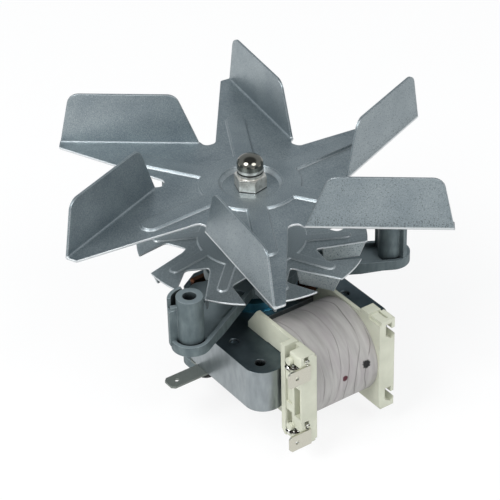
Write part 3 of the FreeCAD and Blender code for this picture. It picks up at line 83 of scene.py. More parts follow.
# The main fan's blades, measured from the sheet's underside, and the cooling fan's ribs above its sheet
BLADE_HEIGHT = 20.4 * MM
COOLING_RIB_RISE = 0.5 * MM

# How far the dense specks reach from a fold, and the width of the painted highlight, a bright line, along
# it.
# The cooling fan's vanes are shorter and fold down
SPECK_REACH = 6.0 * MM
FOLD_HIGHLIGHT_WIDTH = 1.4 * MM
VANE_SPECK_REACH = -SPECK_REACH / 4
VANE_FOLD_HIGHLIGHT_WIDTH = -FOLD_HIGHLIGHT_WIDTH / 2

# A face is fully on the outer side of a fold where its normal passes the shaft at this signed distance
STRETCHED_PASS = -5.0 * MM

# How much of a drawn line's width is solid. The rest of it fades
LINE_CORE = 0.6

# The patterns on the finishes, at about the real ones' sizes. The sheet's grain is drawn coarser than it
# is, so that it shows
SHEET_GRAIN = 0.35 * MM
SHEET_CLOUD = 14.0 * MM
SHEET_SPECK = 0.5 * MM
CAST_MOTTLE = 2.0 * MM
CAST_GRAIN = 0.5 * MM
VARNISH_MOTTLE = 6.0 * MM
CUT_STREAK = 1.6 * MM
PLAIN_GRAIN = 0.4 * MM
PLASTIC_CLOUD = 8.0 * MM
TAPE_STREAK = 1.6 * MM
TAPE_FOLD = 9.0 * MM
NUT_SCUFF = 1.5 * MM
SOLDER_SPOT = 0.7 * MM

# The paler strip along an edge, a painted highlight (on the cast zinc it stands partly for wear): its
# width, and how well the rounded normal agrees with the real one (1 is fully) where the strip begins and
# where it is full
EDGE_WIDTH = 0.35 * MM
EDGE_FROM = 0.98
EDGE_FULL = 0.80

# How much of a normal lies along the shaft where its face begins to count as level, and where it does
LEVEL_FROM = 0.25
LEVEL_FULL = 0.75

# The painted shade inside a hole: how far the open directions are felt, and how much of them is left where
# the painted shade begins and where it is full
HOLE_REACH = 8.0 * MM
HOLE_FROM = 0.45
HOLE_FULL = 0.25

# A Wave texture at scale 1 has a band every 2 pi / 20 metres
LAMINATION_THICKNESS = 0.5 * MM
LAMINATION_BANDS = 2 * math.pi / 20 / LAMINATION_THICKNESS

# The tape's creases run round the coil: their spacing, slant, wander and width, and their broken lengths
CREASE_SPACING = 4.2 * MM
CREASE_SLANT = -0.10
CREASE_WANDER = 12.0 * MM
CREASE_WANDER_SIZE = 24.0 * MM
CREASE_WIDTH = 0.26 * MM
CREASE_BREAK = 8.0 * MM

# Ink dots that mark the wound coil: centre and radius in millimetres, and colour. The smeared distance at
# which the ink ends and is full is in radii
INK_DOTS = (((-0.7, -54.7, -35.4), 1.1, "#4a0c1e"), ((8.7, -54.2, -33.6), 1.6, "#05070a"))
INK_SMEAR = 1.0 * MM
INK_END = 1.7
INK_FULL = 1.4

# Heights on the dome nut: its mirror-like part, where that fades out, the neck under it, and the dark lines
# round the hexagon, which are painted shade at its foot and a painted dark reflection at its top
NUT_DOME_DEPTH = 4.6 * MM
NUT_DOME_EDGE = 0.3 * MM
NUT_NECK = 1.5 * MM
NUT_PAINTED_LINE = 0.4 * MM

# The coil's wire ends at the upper terminal, in millimetres, and how far below it the lower one lies. The
# loop's pitch is a share of its radius for each radian
TERMINAL_STEP = -27.2
SOLDER_BEADS = (((-20.7, -49.4, -25.0), (0.8, 1.3, 1.0)), ((-19.4, -51.2, -23.9), (0.8, 0.9, 0.9)),
                ((-17.4, -56.2, -21.7), (0.45, 0.3, 0.4)))
TWIST_START = (-20.7, -50.6, -24.7)
TWIST_END = (-19.0, -54.6, -22.9)
TWIST_TURNS = 2.5
TWIST_RADIUS = 0.42
TWIST_POINTS = 33
LOOP_CENTRE = (-17.4, -56.15, -20.5)
LOOP_RADIUS = 0.72
LOOP_PITCH = 0.1
LOOP_START = 0.4
LOOP_FINISH = 1.75 * math.pi
LOOP_POINTS = 22
WIRE_RADIUS = 0.27
WIRE_SIDES = 8
# A direction that no wire runs along, from which the rings of a wire are turned
WIRE_GUIDE = (0.13, 0.31, 0.94)

# A bead's ripple, and how near its rings come to the poles, as a share of a half turn
BEAD_RIPPLE = 0.12
BEAD_RIPPLE_START = 1.3
BEAD_POLE = 0.49
BEAD_SIDES = 14
BEAD_RINGS = 9

# Plain finishes: colour, roughness and how metallic. Each comment says what the finish gives the eye
PLAIN_FINISHES = {
    # Copper loops darkened as they were brazed: brown, with a soft shine
    "heated_copper": ("#6e4630", 0.35, 1.0),
    # Copper wire under clear enamel: red-brown and glossy
    "enamelled_wire": ("#8a4a2a", 0.25, 1.0),
    # The same enamel scorched by the soldering iron: nearly black
    "scorched_enamel": ("#2a1a12", 0.2, 0.3),
    # Brass strip dipped in tin: pale and bright, a little yellow
    "tinned_brass": ("#d8d6c8", 0.28, 1.0),
    # Bronze powder pressed and sintered: dull gold
    "sintered_bronze": ("#8a6c42", 0.5, 1.0),
    # Wool felt soaked in oil: buff, with no shine
    "oiled_felt": ("#9a8a70", 0.9, 0.0),
    # Rolled and hardened spring steel: mid grey, with a soft shine
    "spring_steel": ("#6a6d70", 0.35, 1.0),
    # Screws blackened in a hot bath: nearly black, with a clear highlight
    "black_oxide_steel": ("#18181a", 0.25, 0.4),
    # Zinc plate that has dulled: greenish grey and satin
    "dull_zinc_plate": ("#858b86", 0.5, 0.7),
    # Steel ground round: pale, with clear reflections
    "bright_ground_steel": ("#b8babc", 0.25, 1.0),
    # Nylon moulded without a dye: milky and matte
    "natural_nylon": ("#d8d4c8", 0.5, 0.0),
    # Brass off the lathe: yellow, with clear reflections
    "turned_brass": ("#b09a5a", 0.3, 1.0),
}


def linear(code):
    """An sRGB hex colour as linear red, green, blue and alpha."""
    parts = [int(code[i:i + 2], 16) / 255 for i in (1, 3, 5)]
    return [c / 12.92 if c <= 0.04045 else ((c + 0.055) / 1.055) ** 2.4 for c in parts] + [1.0]


def fill(socket, value):
    """Sets an input, or joins it to a socket or to a node's first live output."""
    if isinstance(value, bpy.types.Node):
        value = next(output for output in value.outputs if output.enabled)
    if isinstance(value, bpy.types.NodeSocket):
        socket.id_data.links.new(value, socket)
    else:
        socket.default_value = value


def fill_named(node, **inputs):
    """Fills a node's inputs by their names, written with underscores for spaces."""
    for name, value in inputs.items():
        fill(node.inputs[name.replace("_", " ")], value)


def add(tree, kind, *values, stops=(), **named):
    """Adds a node. Names in lower case are its settings, and capitalised ones are its inputs.

    The values without a name fill its live inputs in order. stops are a ramp's places and hex colours.
    """
    node = tree.nodes.new(kind)
    for name, value in named.items():
        if name.islower():
            setattr(node, name, value)
    for socket, value in zip([socket for socket in node.inputs if socket.enabled], values):
        fill(socket, value)
    fill_named(node, **{name: value for name, value in named.items() if not name.islower()})
    for number, (place, code) in enumerate(stops):
        points = node.color_ramp.elements
        point = points[number] if number < 2 else points.new(place)
        point.position = place
        point.color = linear(code)
    return node


def new_material(name, **inputs):
    """A material with one Principled shader whose sockets are set directly."""
    material = bpy.data.materials.new(name)
    material.use_nodes = True
    tree = material.node_tree
    shader = tree.nodes["Principled BSDF"]
    fill_named(shader, **inputs)
    return material, tree, shader


def edge_mask(tree):
    """Where the painted edge highlight goes: about 1 along edges and 0 away from them, from how far a
    rounded normal leans.
    """
    soft = add(tree, "ShaderNodeBevel", samples=4, Radius=EDGE_WIDTH)
    flat = add(tree, "ShaderNodeNewGeometry").outputs["Normal"]
    match = add(tree, "ShaderNodeVectorMath", soft, flat, operation="DOT_PRODUCT")
    return add(tree, "ShaderNodeMapRange", match, EDGE_FROM, EDGE_FULL)


def own_normal(tree):
    """The surface's normal in the piece's own axes, which turn with it."""
    normal = add(tree, "ShaderNodeNewGeometry").outputs["Normal"]
    return add(tree, "ShaderNodeVectorTransform", normal, vector_type="NORMAL", convert_from="WORLD",
               convert_to="OBJECT")


def level(tree):
    """1 on faces square to the shaft and 0 on those along it."""
    height = add(tree, "ShaderNodeSeparateXYZ", own_normal(tree)).outputs["Z"]
    size = add(tree, "ShaderNodeMath", height, operation="ABSOLUTE")
    return add(tree, "ShaderNodeMapRange", size, LEVEL_FROM, LEVEL_FULL)


def stretched(tree):
    """1 on the outer side of the folds and 0 on the inner, by which way round the shaft a face looks."""
    place = add(tree, "ShaderNodeTexCoord").outputs["Object"]
    turn = add(tree, "ShaderNodeVectorMath", place, own_normal(tree), operation="CROSS_PRODUCT")
    around = add(tree, "ShaderNodeSeparateXYZ", turn).outputs["Z"]
    return add(tree, "ShaderNodeMapRange", around, 0.0, STRETCHED_PASS)


def hole_shade(tree):
    """Where the painted shade goes: about 1 inside narrow holes and 0 on open faces, from how much of the
    piece's own surface is near.
    """
    clear = add(tree, "ShaderNodeAmbientOcclusion", samples=8, only_local=True, Distance=HOLE_REACH)
    return add(tree, "ShaderNodeMapRange", clear.outputs["AO"], HOLE_FROM, HOLE_FULL)


def aluminised_sheet(name, tint, fold, reach, highlight_width, edge_highlight_share):
    """Hot-dip aluminised steel, pressed: satin grey and smooth, speckled where the bend stretched it.

    fold is the height of the folds. The dense specks reach that far from it, and a painted highlight, a
    bright line of the given width, runs along it, both upwards where they are positive and downwards where
    they aren't.
    The last argument says how bright the painted highlight on the sheared edges is.
    """
    material, tree, shader = new_material(name, Metallic=0.85)
    place = add(tree, "ShaderNodeTexCoord").outputs["Object"]
    height = add(tree, "ShaderNodeSeparateXYZ", place).outputs["Z"]
    grain = add(tree, "ShaderNodeTexNoise", Vector=place, Scale=1 / SHEET_GRAIN, Detail=2.0)
    cloud = add(tree, "ShaderNodeTexNoise", Vector=place, Scale=1 / SHEET_CLOUD, Detail=3.0)
    base = add(tree, "ShaderNodeValToRGB", grain,
               stops=[(0.30, "#929ca0"), (0.50, "#a7b0b3"), (0.72, "#bfc6c8")])
    base = add(tree, "ShaderNodeMix", cloud, base, linear(tint), data_type="RGBA", blend_type="MULTIPLY")
    upright = add(tree, "ShaderNodeMapRange", level(tree), 0.0, 1.0, 1.0, 0.0)
    outer = add(tree, "ShaderNodeMath", stretched(tree), upright, operation="MULTIPLY")

    # A darker band from the fold, with specks that thin out along it
    along = add(tree, "ShaderNodeMapRange", height, fold, fold + reach)
    share = add(tree, "ShaderNodeMapRange", along, 0.0, 1.0, 0.55, 0.3)
    band = add(tree, "ShaderNodeMath", outer, share, operation="MULTIPLY")
    base = add(tree, "ShaderNodeMix", band, base, linear("#7b868a"), data_type="RGBA")
    dense = add(tree, "ShaderNodeMapRange", along, 0.0, 1.0, 0.11, -0.02)
    dots = add(tree, "ShaderNodeTexNoise", Vector=place, Scale=1 / SHEET_SPECK, Detail=1.0)
    dots = add(tree, "ShaderNodeMath", dots, dense, operation="ADD")
    dots = add(tree, "ShaderNodeMapRange", dots, 0.60, 0.68, 0.0, 0.85)
    specks = add(tree, "ShaderNodeMath", dots, outer, operation="MULTIPLY")
    base = add(tree, "ShaderNodeMix", specks, base, linear("#5f686c"), data_type="RGBA")

    # Painted highlights: a bright line along the fold, and bright sheared edges
    core = fold + highlight_width * LINE_CORE
    line = add(tree, "ShaderNodeMapRange", height, fold + highlight_width, core, 0.0, 0.7)
    line = add(tree, "ShaderNodeMath", line, upright, operation="MULTIPLY")
    base = add(tree, "ShaderNodeMix", line, base, linear("#eef1f2"), data_type="RGBA")
    edge_highlight = add(tree, "ShaderNodeMath", edge_mask(tree), edge_highlight_share, operation="MULTIPLY")
    base = add(tree, "ShaderNodeMix", edge_highlight, base, linear("#eef1f2"), data_type="RGBA")

    rough = add(tree, "ShaderNodeMapRange", grain, 0.0, 1.0, 0.34, 0.48)
    corner = add(tree, "ShaderNodeBevel", samples=4, Radius=0.7 * MM)
    normal = add(tree, "ShaderNodeBump", Height=grain, Distance=0.02 * MM, Normal=corner)
    fill_named(shader, Base_Color=base, Roughness=rough, Normal=normal)
    return material


def die_cast_zinc():
    """Zinc alloy as cast: matte and mottled grey-green. The level faces are paler with painted light, the
    edges carry a pale painted highlight that stands partly for wear, and the holes are darkened with
    painted shade.
    """
    material, tree, shader = new_material("die_cast_zinc", Metallic=0.5, Roughness=0.55)
    place = add(tree, "ShaderNodeTexCoord").outputs["Object"]
    flow = add(tree, "ShaderNodeMapping", Vector=place, Scale=(1.0, 1.0, 0.4))
    mottle = add(tree, "ShaderNodeTexNoise", Vector=flow, Scale=1 / CAST_MOTTLE, Detail=4.0)
    base = add(tree, "ShaderNodeValToRGB", mottle,
               stops=[(0.30, "#576366"), (0.50, "#616d70"), (0.70, "#6e7a7c")])
    # Painted light: the level faces are made paler, as if lit from above
    flat = add(tree, "ShaderNodeMath", level(tree), 0.75, operation="MULTIPLY")
    base = add(tree, "ShaderNodeMix", flat, base, linear("#8d999d"), data_type="RGBA")
    # A pale painted highlight along the edges, which stands partly for wear
    edge_highlight = add(tree, "ShaderNodeMath", edge_mask(tree), 0.5, operation="MULTIPLY")
    base = add(tree, "ShaderNodeMix", edge_highlight, base, linear("#b4bec0"), data_type="RGBA")
    # Painted shade inside the holes
    base = add(tree, "ShaderNodeMix", hole_shade(tree), base, linear("#1d2427"), data_type="RGBA")
    grain = add(tree, "ShaderNodeTexNoise", Vector=place, Scale=1 / CAST_GRAIN, Detail=2.0)
    corner = add(tree, "ShaderNodeBevel", samples=4, Radius=0.4 * MM)
    normal = add(tree, "ShaderNodeBump", Height=grain, Distance=0.05 * MM, Normal=corner)
    fill_named(shader, Base_Color=base, Normal=normal)
    return material


def laminated_steel(name, flat, side, rough, metallic=0.8):
    """Electrical sheet stacked and varnished: dark flat faces, paler cut edges, a line for each sheet,
    painted shade in holes.
    """
    material, tree, shader = new_material(name, Metallic=metallic, Roughness=rough)
    place = add(tree, "ShaderNodeTexCoord").outputs["Object"]
    mottle = add(tree, "ShaderNodeTexNoise", Vector=place, Scale=1 / VARNISH_MOTTLE, Detail=3.0)
    faces = add(tree, "ShaderNodeValToRGB", mottle, stops=[(0.3, flat[0]), (0.7, flat[1])])
    drawn = add(tree, "ShaderNodeMapping", Vector=place, Scale=(0.7, 0.7, 0.25))
    streaks = add(tree, "ShaderNodeTexNoise", Vector=drawn, Scale=1 / CUT_STREAK, Detail=3.0)
    cuts = add(tree, "ShaderNodeValToRGB", streaks, stops=[(0.3, side[0]), (0.7, side[1])])
    base = add(tree, "ShaderNodeMix", level(tree), cuts, faces, data_type="RGBA")
    # Painted shade inside the holes
    base = add(tree, "ShaderNodeMix", hole_shade(tree), base, linear("#14191c"), data_type="RGBA")
    sheets = add(tree, "ShaderNodeTexWave", bands_direction="Z", Vector=place, Scale=LAMINATION_BANDS)
    lines = add(tree, "ShaderNodeMath", sheets.outputs["Fac"], streaks, operation="MULTIPLY")
    corner = add(tree, "ShaderNodeBevel", samples=4, Radius=0.4 * MM)
    normal = add(tree, "ShaderNodeBump", Height=lines, Distance=0.015 * MM, Normal=corner)
    fill_named(shader, Base_Color=base, Normal=normal)
    return material


def varnished_core():
    """The core's varnish: dark on the flat faces, pale and worn on the cut edges, with a soft shine."""
    return laminated_steel("varnished_laminations", ("#465359", "#5e6a70"), ("#868d90", "#989fa2"), 0.31)


def lacquered_rotor():
    """Blue lacquer over the rotor: glossy, with the metal's shine under it."""
    return laminated_steel("lacquered_rotor", ("#3c7285", "#4b8799"), ("#3c7285", "#52909f"), 0.16, 0.7)


def plain_finish(name):
    """One of the plain finishes, with a faint grain."""
    code, rough, metallic = PLAIN_FINISHES[name]
    material, tree, shader = new_material(name, Metallic=metallic, Roughness=rough)
    place = add(tree, "ShaderNodeTexCoord").outputs["Object"]
    marks = add(tree, "ShaderNodeTexNoise", Vector=place, Scale=1 / PLAIN_GRAIN, Detail=2.0)
    base = add(tree, "ShaderNodeMix", marks, linear(code), linear("#d8d8d8"), data_type="RGBA",
               blend_type="MULTIPLY")
    corner = add(tree, "ShaderNodeBevel", samples=4, Radius=0.2 * MM)
    normal = add(tree, "ShaderNodeBump", Height=marks, Distance=0.01 * MM, Normal=corner)
    fill_named(shader, Base_Color=base, Normal=normal)
    return material


def moulded_plastic():
    """Glass-filled polyester moulding: ivory, matte, a little uneven."""
    material, tree, shader = new_material("moulded_ivory_plastic", Roughness=0.5, IOR=1.5)
    place = add(tree, "ShaderNodeTexCoord").outputs["Object"]
    cloud = add(tree, "ShaderNodeTexNoise", Vector=place, Scale=1 / PLASTIC_CLOUD, Detail=3.0)
    base = add(tree, "ShaderNodeValToRGB", cloud, stops=[(0.3, "#bdbeac"), (0.7, "#cdcebc")])
    grain = add(tree, "ShaderNodeTexNoise", Vector=place, Scale=1 / PLAIN_GRAIN, Detail=2.0)
    corner = add(tree, "ShaderNodeBevel", samples=4, Radius=0.35 * MM)
    normal = add(tree, "ShaderNodeBump", Height=grain, Distance=0.02 * MM, Normal=corner)
    fill_named(shader, Base_Color=base, Normal=normal)
    return material


def creases(tree):
    """Thin broken lines, 1 where they are, that wander round the coil as the tape's edges and folds do."""
    place = add(tree, "ShaderNodeTexCoord").outputs["Object"]
    parts = add(tree, "ShaderNodeSeparateXYZ", place).outputs
    slant = add(tree, "ShaderNodeMath", parts["Z"], CREASE_SLANT, operation="MULTIPLY")
    across = add(tree, "ShaderNodeMath", parts["X"], slant, operation="ADD")
    drift = add(tree, "ShaderNodeTexNoise", Vector=place, Scale=1 / CREASE_WANDER_SIZE, Detail=1.0)
    wander = add(tree, "ShaderNodeMath", drift, CREASE_WANDER, operation="MULTIPLY")
    across = add(tree, "ShaderNodeMath", across, wander, operation="ADD")
    ridge = add(tree, "ShaderNodeMath", across, CREASE_SPACING / 2, operation="PINGPONG")
    line = add(tree, "ShaderNodeMapRange", ridge, CREASE_WIDTH, 0.0)
    drawn = add(tree, "ShaderNodeMapping", Vector=place, Scale=(1.6, 0.3, 0.3))
    lengths = add(tree, "ShaderNodeTexNoise", Vector=drawn, Scale=1 / CREASE_BREAK, Detail=1.0)
    broken = add(tree, "ShaderNodeMapRange", lengths, 0.40, 0.54)
    return add(tree, "ShaderNodeMath", line, broken, operation="MULTIPLY")


def insulation_tape():
    """Insulation tape wound round the coil: pale grey, streaked and creased, with painted shade along the
    creases and two ink dots.
    """
    material, tree, shader = new_material("insulation_tape", Roughness=0.55, IOR=1.45)
    place = add(tree, "ShaderNodeTexCoord").outputs["Object"]
    drawn = add(tree, "ShaderNodeMapping", Vector=place, Scale=(1.0, 0.12, 0.12))
    streaks = add(tree, "ShaderNodeTexNoise", Vector=drawn, Scale=1 / TAPE_STREAK, Detail=4.0)
    base = add(tree, "ShaderNodeValToRGB", streaks,
               stops=[(0.28, "#989592"), (0.5, "#a4a19e"), (0.75, "#b1aeab")])
    drawn = add(tree, "ShaderNodeMapping", Vector=place, Scale=(1.6, 0.55, 0.55))
    folds = add(tree, "ShaderNodeTexNoise", Vector=drawn, Scale=1 / TAPE_FOLD, Detail=2.0)
    tint = add(tree, "ShaderNodeMapRange", folds, 0.45, 0.62, 0.0, 0.35)
    base = add(tree, "ShaderNodeMix", tint, base, linear("#a0979a"), data_type="RGBA")
    crease = creases(tree)
    # Painted shade along the creases, at the tape's edges and folds
    shade = add(tree, "ShaderNodeMath", crease, 0.8, operation="MULTIPLY")
    base = add(tree, "ShaderNodeMix", shade, base, linear("#65625f"), data_type="RGBA")
    for centre, radius, code in INK_DOTS:
        middle = [c * MM for c in centre]
        away = add(tree, "ShaderNodeVectorMath", place, middle, operation="DISTANCE")
        smear = add(tree, "ShaderNodeTexNoise", Vector=place, Scale=1 / INK_SMEAR, Detail=2.0)
        smear = add(tree, "ShaderNodeMath", smear, radius * MM, operation="MULTIPLY")
        reach = add(tree, "ShaderNodeMath", away, smear, operation="ADD")
        dot = add(tree, "ShaderNodeMapRange", reach, radius * INK_END * MM, radius * INK_FULL * MM)
        base = add(tree, "ShaderNodeMix", dot, base, linear(code), data_type="RGBA")
    sunk = add(tree, "ShaderNodeMapRange", crease, 0.0, 1.0, 1.0, 0.0)
    normal = add(tree, "ShaderNodeBump", Height=folds, Distance=0.8 * MM)
    normal = add(tree, "ShaderNodeBump", Height=sunk, Distance=0.15 * MM, Normal=normal)
    normal = add(tree, "ShaderNodeBump", Height=streaks, Distance=0.08 * MM, Normal=normal)
    fill_named(shader, Base_Color=base, Normal=normal)
    return material


def nickel_plate():
    """Bright nickel plating: a dome like a dark mirror over a scuffed, pale hexagon with dark lines. The
    dome's darker colour is a painted reflection, the hexagon's paler one painted light, and the lines
    painted shade and reflection.
    """
    material, tree, shader = new_material("nickel_plate")
    place = add(tree, "ShaderNodeTexCoord").outputs["Object"]
    height = add(tree, "ShaderNodeSeparateXYZ", place).outputs["Z"]
    low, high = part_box("dome_nut")
    foot = high.z - NUT_DOME_DEPTH
    dome = add(tree, "ShaderNodeMapRange", height, foot - NUT_DOME_EDGE, foot)
    scuffs = add(tree, "ShaderNodeTexNoise", Vector=place, Scale=1 / NUT_SCUFF, Detail=3.0)
    # Painted light: the scuffed hexagon is made paler than the dome
    pale = add(tree, "ShaderNodeValToRGB", scuffs, stops=[(0.3, "#c2bfb6"), (0.7, "#f2f0ea")])
    # Dark lines: painted shade at the hexagon's foot and a painted dark reflection at its top
    for line in (low.z, foot - NUT_NECK):
        away = add(tree, "ShaderNodeMath", height, line, operation="SUBTRACT")
        away = add(tree, "ShaderNodeMath", away, operation="ABSOLUTE")
        dark = add(tree, "ShaderNodeMapRange", away, NUT_PAINTED_LINE, NUT_PAINTED_LINE * LINE_CORE)
        pale = add(tree, "ShaderNodeMix", dark, pale, linear("#2e2d2a"), data_type="RGBA")
    # Painted reflection: the dome is given a darker colour than the hexagon
    base = add(tree, "ShaderNodeMix", dome, pale, linear("#7e7c74"), data_type="RGBA")
    rough = add(tree, "ShaderNodeMapRange", dome, 0.0, 1.0, 0.28, 0.07)
    metallic = add(tree, "ShaderNodeMapRange", dome, 0.0, 1.0, 0.85, 1.0)
    corner = add(tree, "ShaderNodeBevel", samples=4, Radius=0.2 * MM)
    fill_named(shader, Base_Color=base, Roughness=rough, Metallic=metallic, Normal=corner)
    return material


def solder():
    """Solder as it froze round the wire ends: bright, with dark flux in its folds."""
    material, tree, shader = new_material("solder", Metallic=1.0, Roughness=0.12)
    place = add(tree, "ShaderNodeTexCoord").outputs["Object"]
    spots = add(tree, "ShaderNodeTexNoise", Vector=place, Scale=1 / SOLDER_SPOT, Detail=2.0)
    base = add(tree, "ShaderNodeValToRGB", spots, stops=[(0.45, "#1c1a18"), (0.55, "#ecece6")])
    normal = add(tree, "ShaderNodeBump", Height=spots, Distance=0.3 * MM)
    fill_named(shader, Base_Color=base, Normal=normal)
    return material


def dress(names, material):
    """Gives CAD nodes one material."""
    for name in names:
        mesh = nodes[name].data
        mesh.materials.clear()
        mesh.materials.append(material)


def dress_fans():
    """The two pressed fans. The cooling fan's vanes fold down, so its specks and painted highlight line run
    downwards.
    """
    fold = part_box("main_fan")[1].z - BLADE_HEIGHT
    sheet = aluminised_sheet("aluminised_sheet", "#b4bcc2", fold, SPECK_REACH, FOLD_HIGHLIGHT_WIDTH, edge_highlight_share=0.5)
    dress(["main_fan"], sheet)
    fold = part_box("cooling_fan")[1].z - COOLING_RIB_RISE
    # The cooling fan's sheet is tinted white, paler than the main fan's: painted light against the main
    # fan's shade above it
    thin = aluminised_sheet("thin_aluminised_sheet", "#ffffff", fold, VANE_SPECK_REACH, VANE_FOLD_HIGHLIGHT_WIDTH,
                            edge_highlight_share=1.0)
    dress(["cooling_fan"], thin)


def dress_other_nodes():
    """The castings, the core, the bobbin and coil, and the small turned and pressed pieces."""
    dress(["front_bracket", "rear_bracket"], die_cast_zinc())
    dress(["stator_core", "coil_yoke"], varnished_core())
    dress(["rotor_core", "rotor_cage"], lacquered_rotor())
    dress([name for name in nodes if name.startswith("shading_ring")], plain_finish("heated_copper"))
    dress(["bobbin"], moulded_plastic())
    dress(["coil_tape"], insulation_tape())
    dress(["coil_winding"], plain_finish("enamelled_wire"))
    dress(["terminal_upper", "terminal_lower"], plain_finish("tinned_brass"))
    dress(["front_bearing", "rear_bearing"], plain_finish("sintered_bronze"))
    dress(["front_oil_felt", "rear_oil_felt"], plain_finish("oiled_felt"))
    dress(["front_bearing_clip", "rear_bearing_clip"], plain_finish("spring_steel"))
    dress(["clamp_screw_left", "clamp_screw_right"], plain_finish("black_oxide_steel"))
    dress(["earth_tab"], plain_finish("dull_zinc_plate"))
    dress(["shaft", "fan_seat_washer"], plain_finish("bright_ground_steel"))
    dress(["front_thrust_washer", "rear_thrust_washer"], plain_finish("natural_nylon"))
    dress(["front_spacer", "rear_spacer", "cooling_fan_hub"], plain_finish("turned_brass"))
    dress(["dome_nut"], nickel_plate())


def new_piece(name, corners, faces, material):
    """A smooth mesh in metres that rides on the stator."""
    mesh = bpy.data.meshes.new(name)
    mesh.from_pydata(corners.tolist(), [], faces)
    mesh.polygons.foreach_set("use_smooth", [True] * len(faces))
    mesh.materials.append(material)
    piece = bpy.data.objects.new(name, mesh)
    bpy.context.scene.collection.objects.link(piece)
    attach(piece, "stator")


def strip_faces(rings, sides):
    """Four-sided faces between rings of points, each ring with as many sides, and a face over each end."""
    last = (rings - 1) * sides
    faces = [tuple(range(sides))[::-1], tuple(range(last, last + sides))]
    for ring in range(rings - 1):
        here, after = ring * sides, (ring + 1) * sides
        for i in range(sides):
            j = (i + 1) % sides
            faces.append((here + i, here + j, after + j, after + i))
    return faces


def wire(name, path, material):
    """A round wire along a path of points in millimetres.

    Each corner is a point of the path plus the wire's radius times cos t of one side and sin t of the
    other, both square to the path, with t going once round.
    """
    along = np.gradient(path, axis=0)
    along /= np.linalg.norm(along, axis=1)[:, None]
    side = np.cross(along, WIRE_GUIDE)
    side /= np.linalg.norm(side, axis=1)[:, None]
    other = np.cross(along, side)
    turn = np.linspace(0, 2 * math.pi, WIRE_SIDES, endpoint=False)[None, :, None]
    around = np.cos(turn) * side[:, None, :] + np.sin(turn) * other[:, None, :]
    corners = (path[:, None, :] + WIRE_RADIUS * around).reshape(-1, 3)
    new_piece(name, corners * MM, strip_faces(len(path), WIRE_SIDES), material)


def bead(name, centre, half, material):
    """A lumpy bead: an ellipsoid whose radius ripples by 12 % twice along it and three times round it."""
    rise = np.linspace(-BEAD_POLE * math.pi, BEAD_POLE * math.pi, BEAD_RINGS)[:, None]
    turn = np.linspace(0, 2 * math.pi, BEAD_SIDES, endpoint=False)[None, :]
    ripple = 1 + BEAD_RIPPLE * np.sin(3 * turn + BEAD_RIPPLE_START) * np.cos(2 * rise)
    unit = np.stack([np.cos(rise) * np.cos(turn) * ripple, np.cos(rise) * np.sin(turn) * ripple,
                     np.sin(rise) * ripple], axis=-1)
    corners = (np.array(centre) + unit * np.array(half)).reshape(-1, 3)
    new_piece(name, corners * MM, strip_faces(BEAD_RINGS, BEAD_SIDES), material)


def make_wire_ends():
    """The coil's ends at each terminal: solder beads, a twisted pair and a loop in the small hole.

    The pair's strands are helices half a turn apart about one line, and the loop is an open circle whose
    ends stand apart by its pitch.
    """
    tin = solder()
    enamel = plain_finish("scorched_enamel")
    start, finish = np.array(TWIST_START), np.array(TWIST_END)
    along = (finish - start) / np.linalg.norm(finish - start)
    side = np.cross(along, (0, 0, 1))
    side /= np.linalg.norm(side)
    other = np.cross(along, side)
    share = np.linspace(0, 1, TWIST_POINTS)[:, None]
    for order, drop in (("upper", 0.0), ("lower", TERMINAL_STEP)):
        shift = np.array((0, 0, drop))
        for strand, phase, material, slot in (("bare", 0.0, tin, "tinned_brass"),
                                              ("dark", math.pi, enamel, "enamelled_copper")):
            angle = 2 * math.pi * TWIST_TURNS * share + phase
            helix = TWIST_RADIUS * (np.cos(angle) * side + np.sin(angle) * other)
            wire(f"{strand}_wire_{order}", start + (finish - start) * share + helix + shift, material)
        angle = np.linspace(LOOP_START, LOOP_FINISH, LOOP_POINTS)[:, None]
        loop = LOOP_RADIUS * np.concatenate([np.cos(angle), LOOP_PITCH * angle, np.sin(angle)], axis=1)
        wire(f"wire_loop_{order}", np.array(LOOP_CENTRE) + shift + loop, tin)
        for number, (centre, half) in enumerate(SOLDER_BEADS, start=1):
            bead(f"solder_{order}_{number}", np.array(centre) + shift, half, tin)


def make_camera():
    """The camera from which the fan's corners, posts and core fall where they should."""
    azimuth, elevation = math.radians(CAMERA_AZIMUTH), math.radians(CAMERA_ELEVATION)
    back = Vector((math.sin(azimuth) * math.cos(elevation), -math.cos(azimuth) * math.cos(elevation),
                   math.sin(elevation)))
    roll = Matrix.Rotation(math.radians(CAMERA_ROLL), 3, back)
    right = roll @ Vector((math.cos(azimuth), math.sin(azimuth), 0))
    upward = back.cross(right)
    camera = bpy.data.objects.new("camera", bpy.data.cameras.new("camera"))
    camera.matrix_world = Matrix((right, upward, back)).transposed().to_4x4()
    camera.location = CAMERA_PLACE
    camera.data.lens = CAMERA_LENS
    camera.data.sensor_width = SENSOR_WIDTH
    camera.data.clip_start, camera.data.clip_end = CAMERA_CLIP
    bpy.context.scene.collection.objects.link(camera)
    bpy.context.scene.camera = camera


def sees_surround(tree):
    """1 for the rays that show the background: from the camera, and off or through shiny surfaces."""
    path = add(tree, "ShaderNodeLightPath").outputs
    shiny = add(tree, "ShaderNodeMath", path["Is Glossy Ray"], path["Is Transmission Ray"],
                operation="MAXIMUM")
    return add(tree, "ShaderNodeMath", path["Is Camera Ray"], shiny, operation="MAXIMUM")


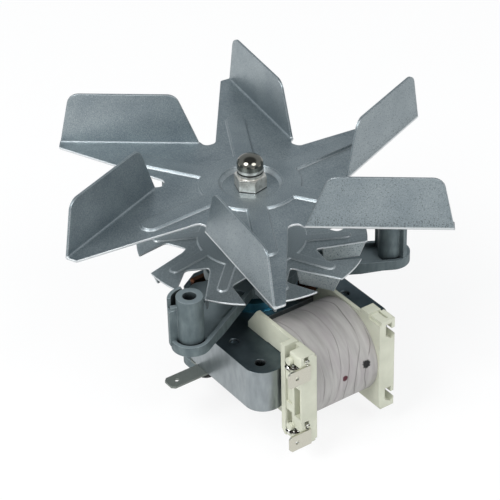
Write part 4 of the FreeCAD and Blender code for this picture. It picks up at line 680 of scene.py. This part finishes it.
def make_floor():
    """A plain white floor just under the motor, which keeps a faint shadow and is clear from below."""
    height = cad_low.z - FLOOR_GAP
    half = FLOOR_SIZE / 2
    corners = [(-half, -half, height), (half, -half, height), (half, half, height), (-half, half, height)]
    mesh = bpy.data.meshes.new("floor")
    mesh.from_pydata(corners, [], [(0, 1, 2, 3)])
    floor = bpy.data.objects.new("floor", mesh)
    bpy.context.scene.collection.objects.link(floor)
    material, tree, shader = new_material("floor", Base_Color=linear(FLOOR_COLOUR), Roughness=0.9)
    white = add(tree, "ShaderNodeEmission", Color=(1, 1, 1, 1), Strength=1.0)
    share = add(tree, "ShaderNodeMath", sees_surround(tree), FLOOR_WHITE_SHARE, operation="MULTIPLY")
    both = add(tree, "ShaderNodeMixShader", share, shader, white)
    clear = add(tree, "ShaderNodeBsdfTransparent")
    below = add(tree, "ShaderNodeNewGeometry").outputs["Backfacing"]
    surface = add(tree, "ShaderNodeMixShader", below, both, clear)
    fill_named(tree.nodes["Material Output"], Surface=surface)
    mesh.materials.append(material)


def round_lamp(name, azimuth, elevation, power):
    """A round soft lamp that faces the motor, placed by its direction seen from the origin."""
    light = bpy.data.lights.new(name, "AREA")
    light.shape = "DISK"
    light.size = LAMP_WIDTH
    light.energy = power
    lamp = bpy.data.objects.new(name, light)
    turn, rise = math.radians(azimuth), math.radians(elevation)
    away = Vector((math.sin(turn) * math.cos(rise), -math.cos(turn) * math.cos(rise), math.sin(rise)))
    lamp.location = away * LAMP_DISTANCE
    lamp.rotation_mode = "QUATERNION"
    lamp.rotation_quaternion = away.to_track_quat("Z", "Y")
    bpy.context.scene.collection.objects.link(lamp)


def make_light():
    """Two round lamps beside the camera in a pale room with a darker ceiling."""
    world = bpy.data.worlds.new("studio")
    bpy.context.scene.world = world
    world.use_nodes = True
    tree = world.node_tree
    direction = add(tree, "ShaderNodeTexCoord").outputs["Generated"]
    rise = add(tree, "ShaderNodeSeparateXYZ", direction).outputs["Z"]
    strength = add(tree, "ShaderNodeMapRange", rise, CEILING_FROM, CEILING_FULL, ROOM_STRENGTH,
                   CEILING_STRENGTH)
    fill_named(tree.nodes["Background"], Color=linear(ROOM_COLOUR), Strength=strength)
    for name, turn, elevation, power in LAMPS:
        round_lamp(name, CAMERA_AZIMUTH + turn, elevation, power)
    bpy.context.scene.view_settings.view_transform = "Standard"


dress_fans()
dress_other_nodes()
make_wire_ends()
make_camera()
make_floor()
make_light()
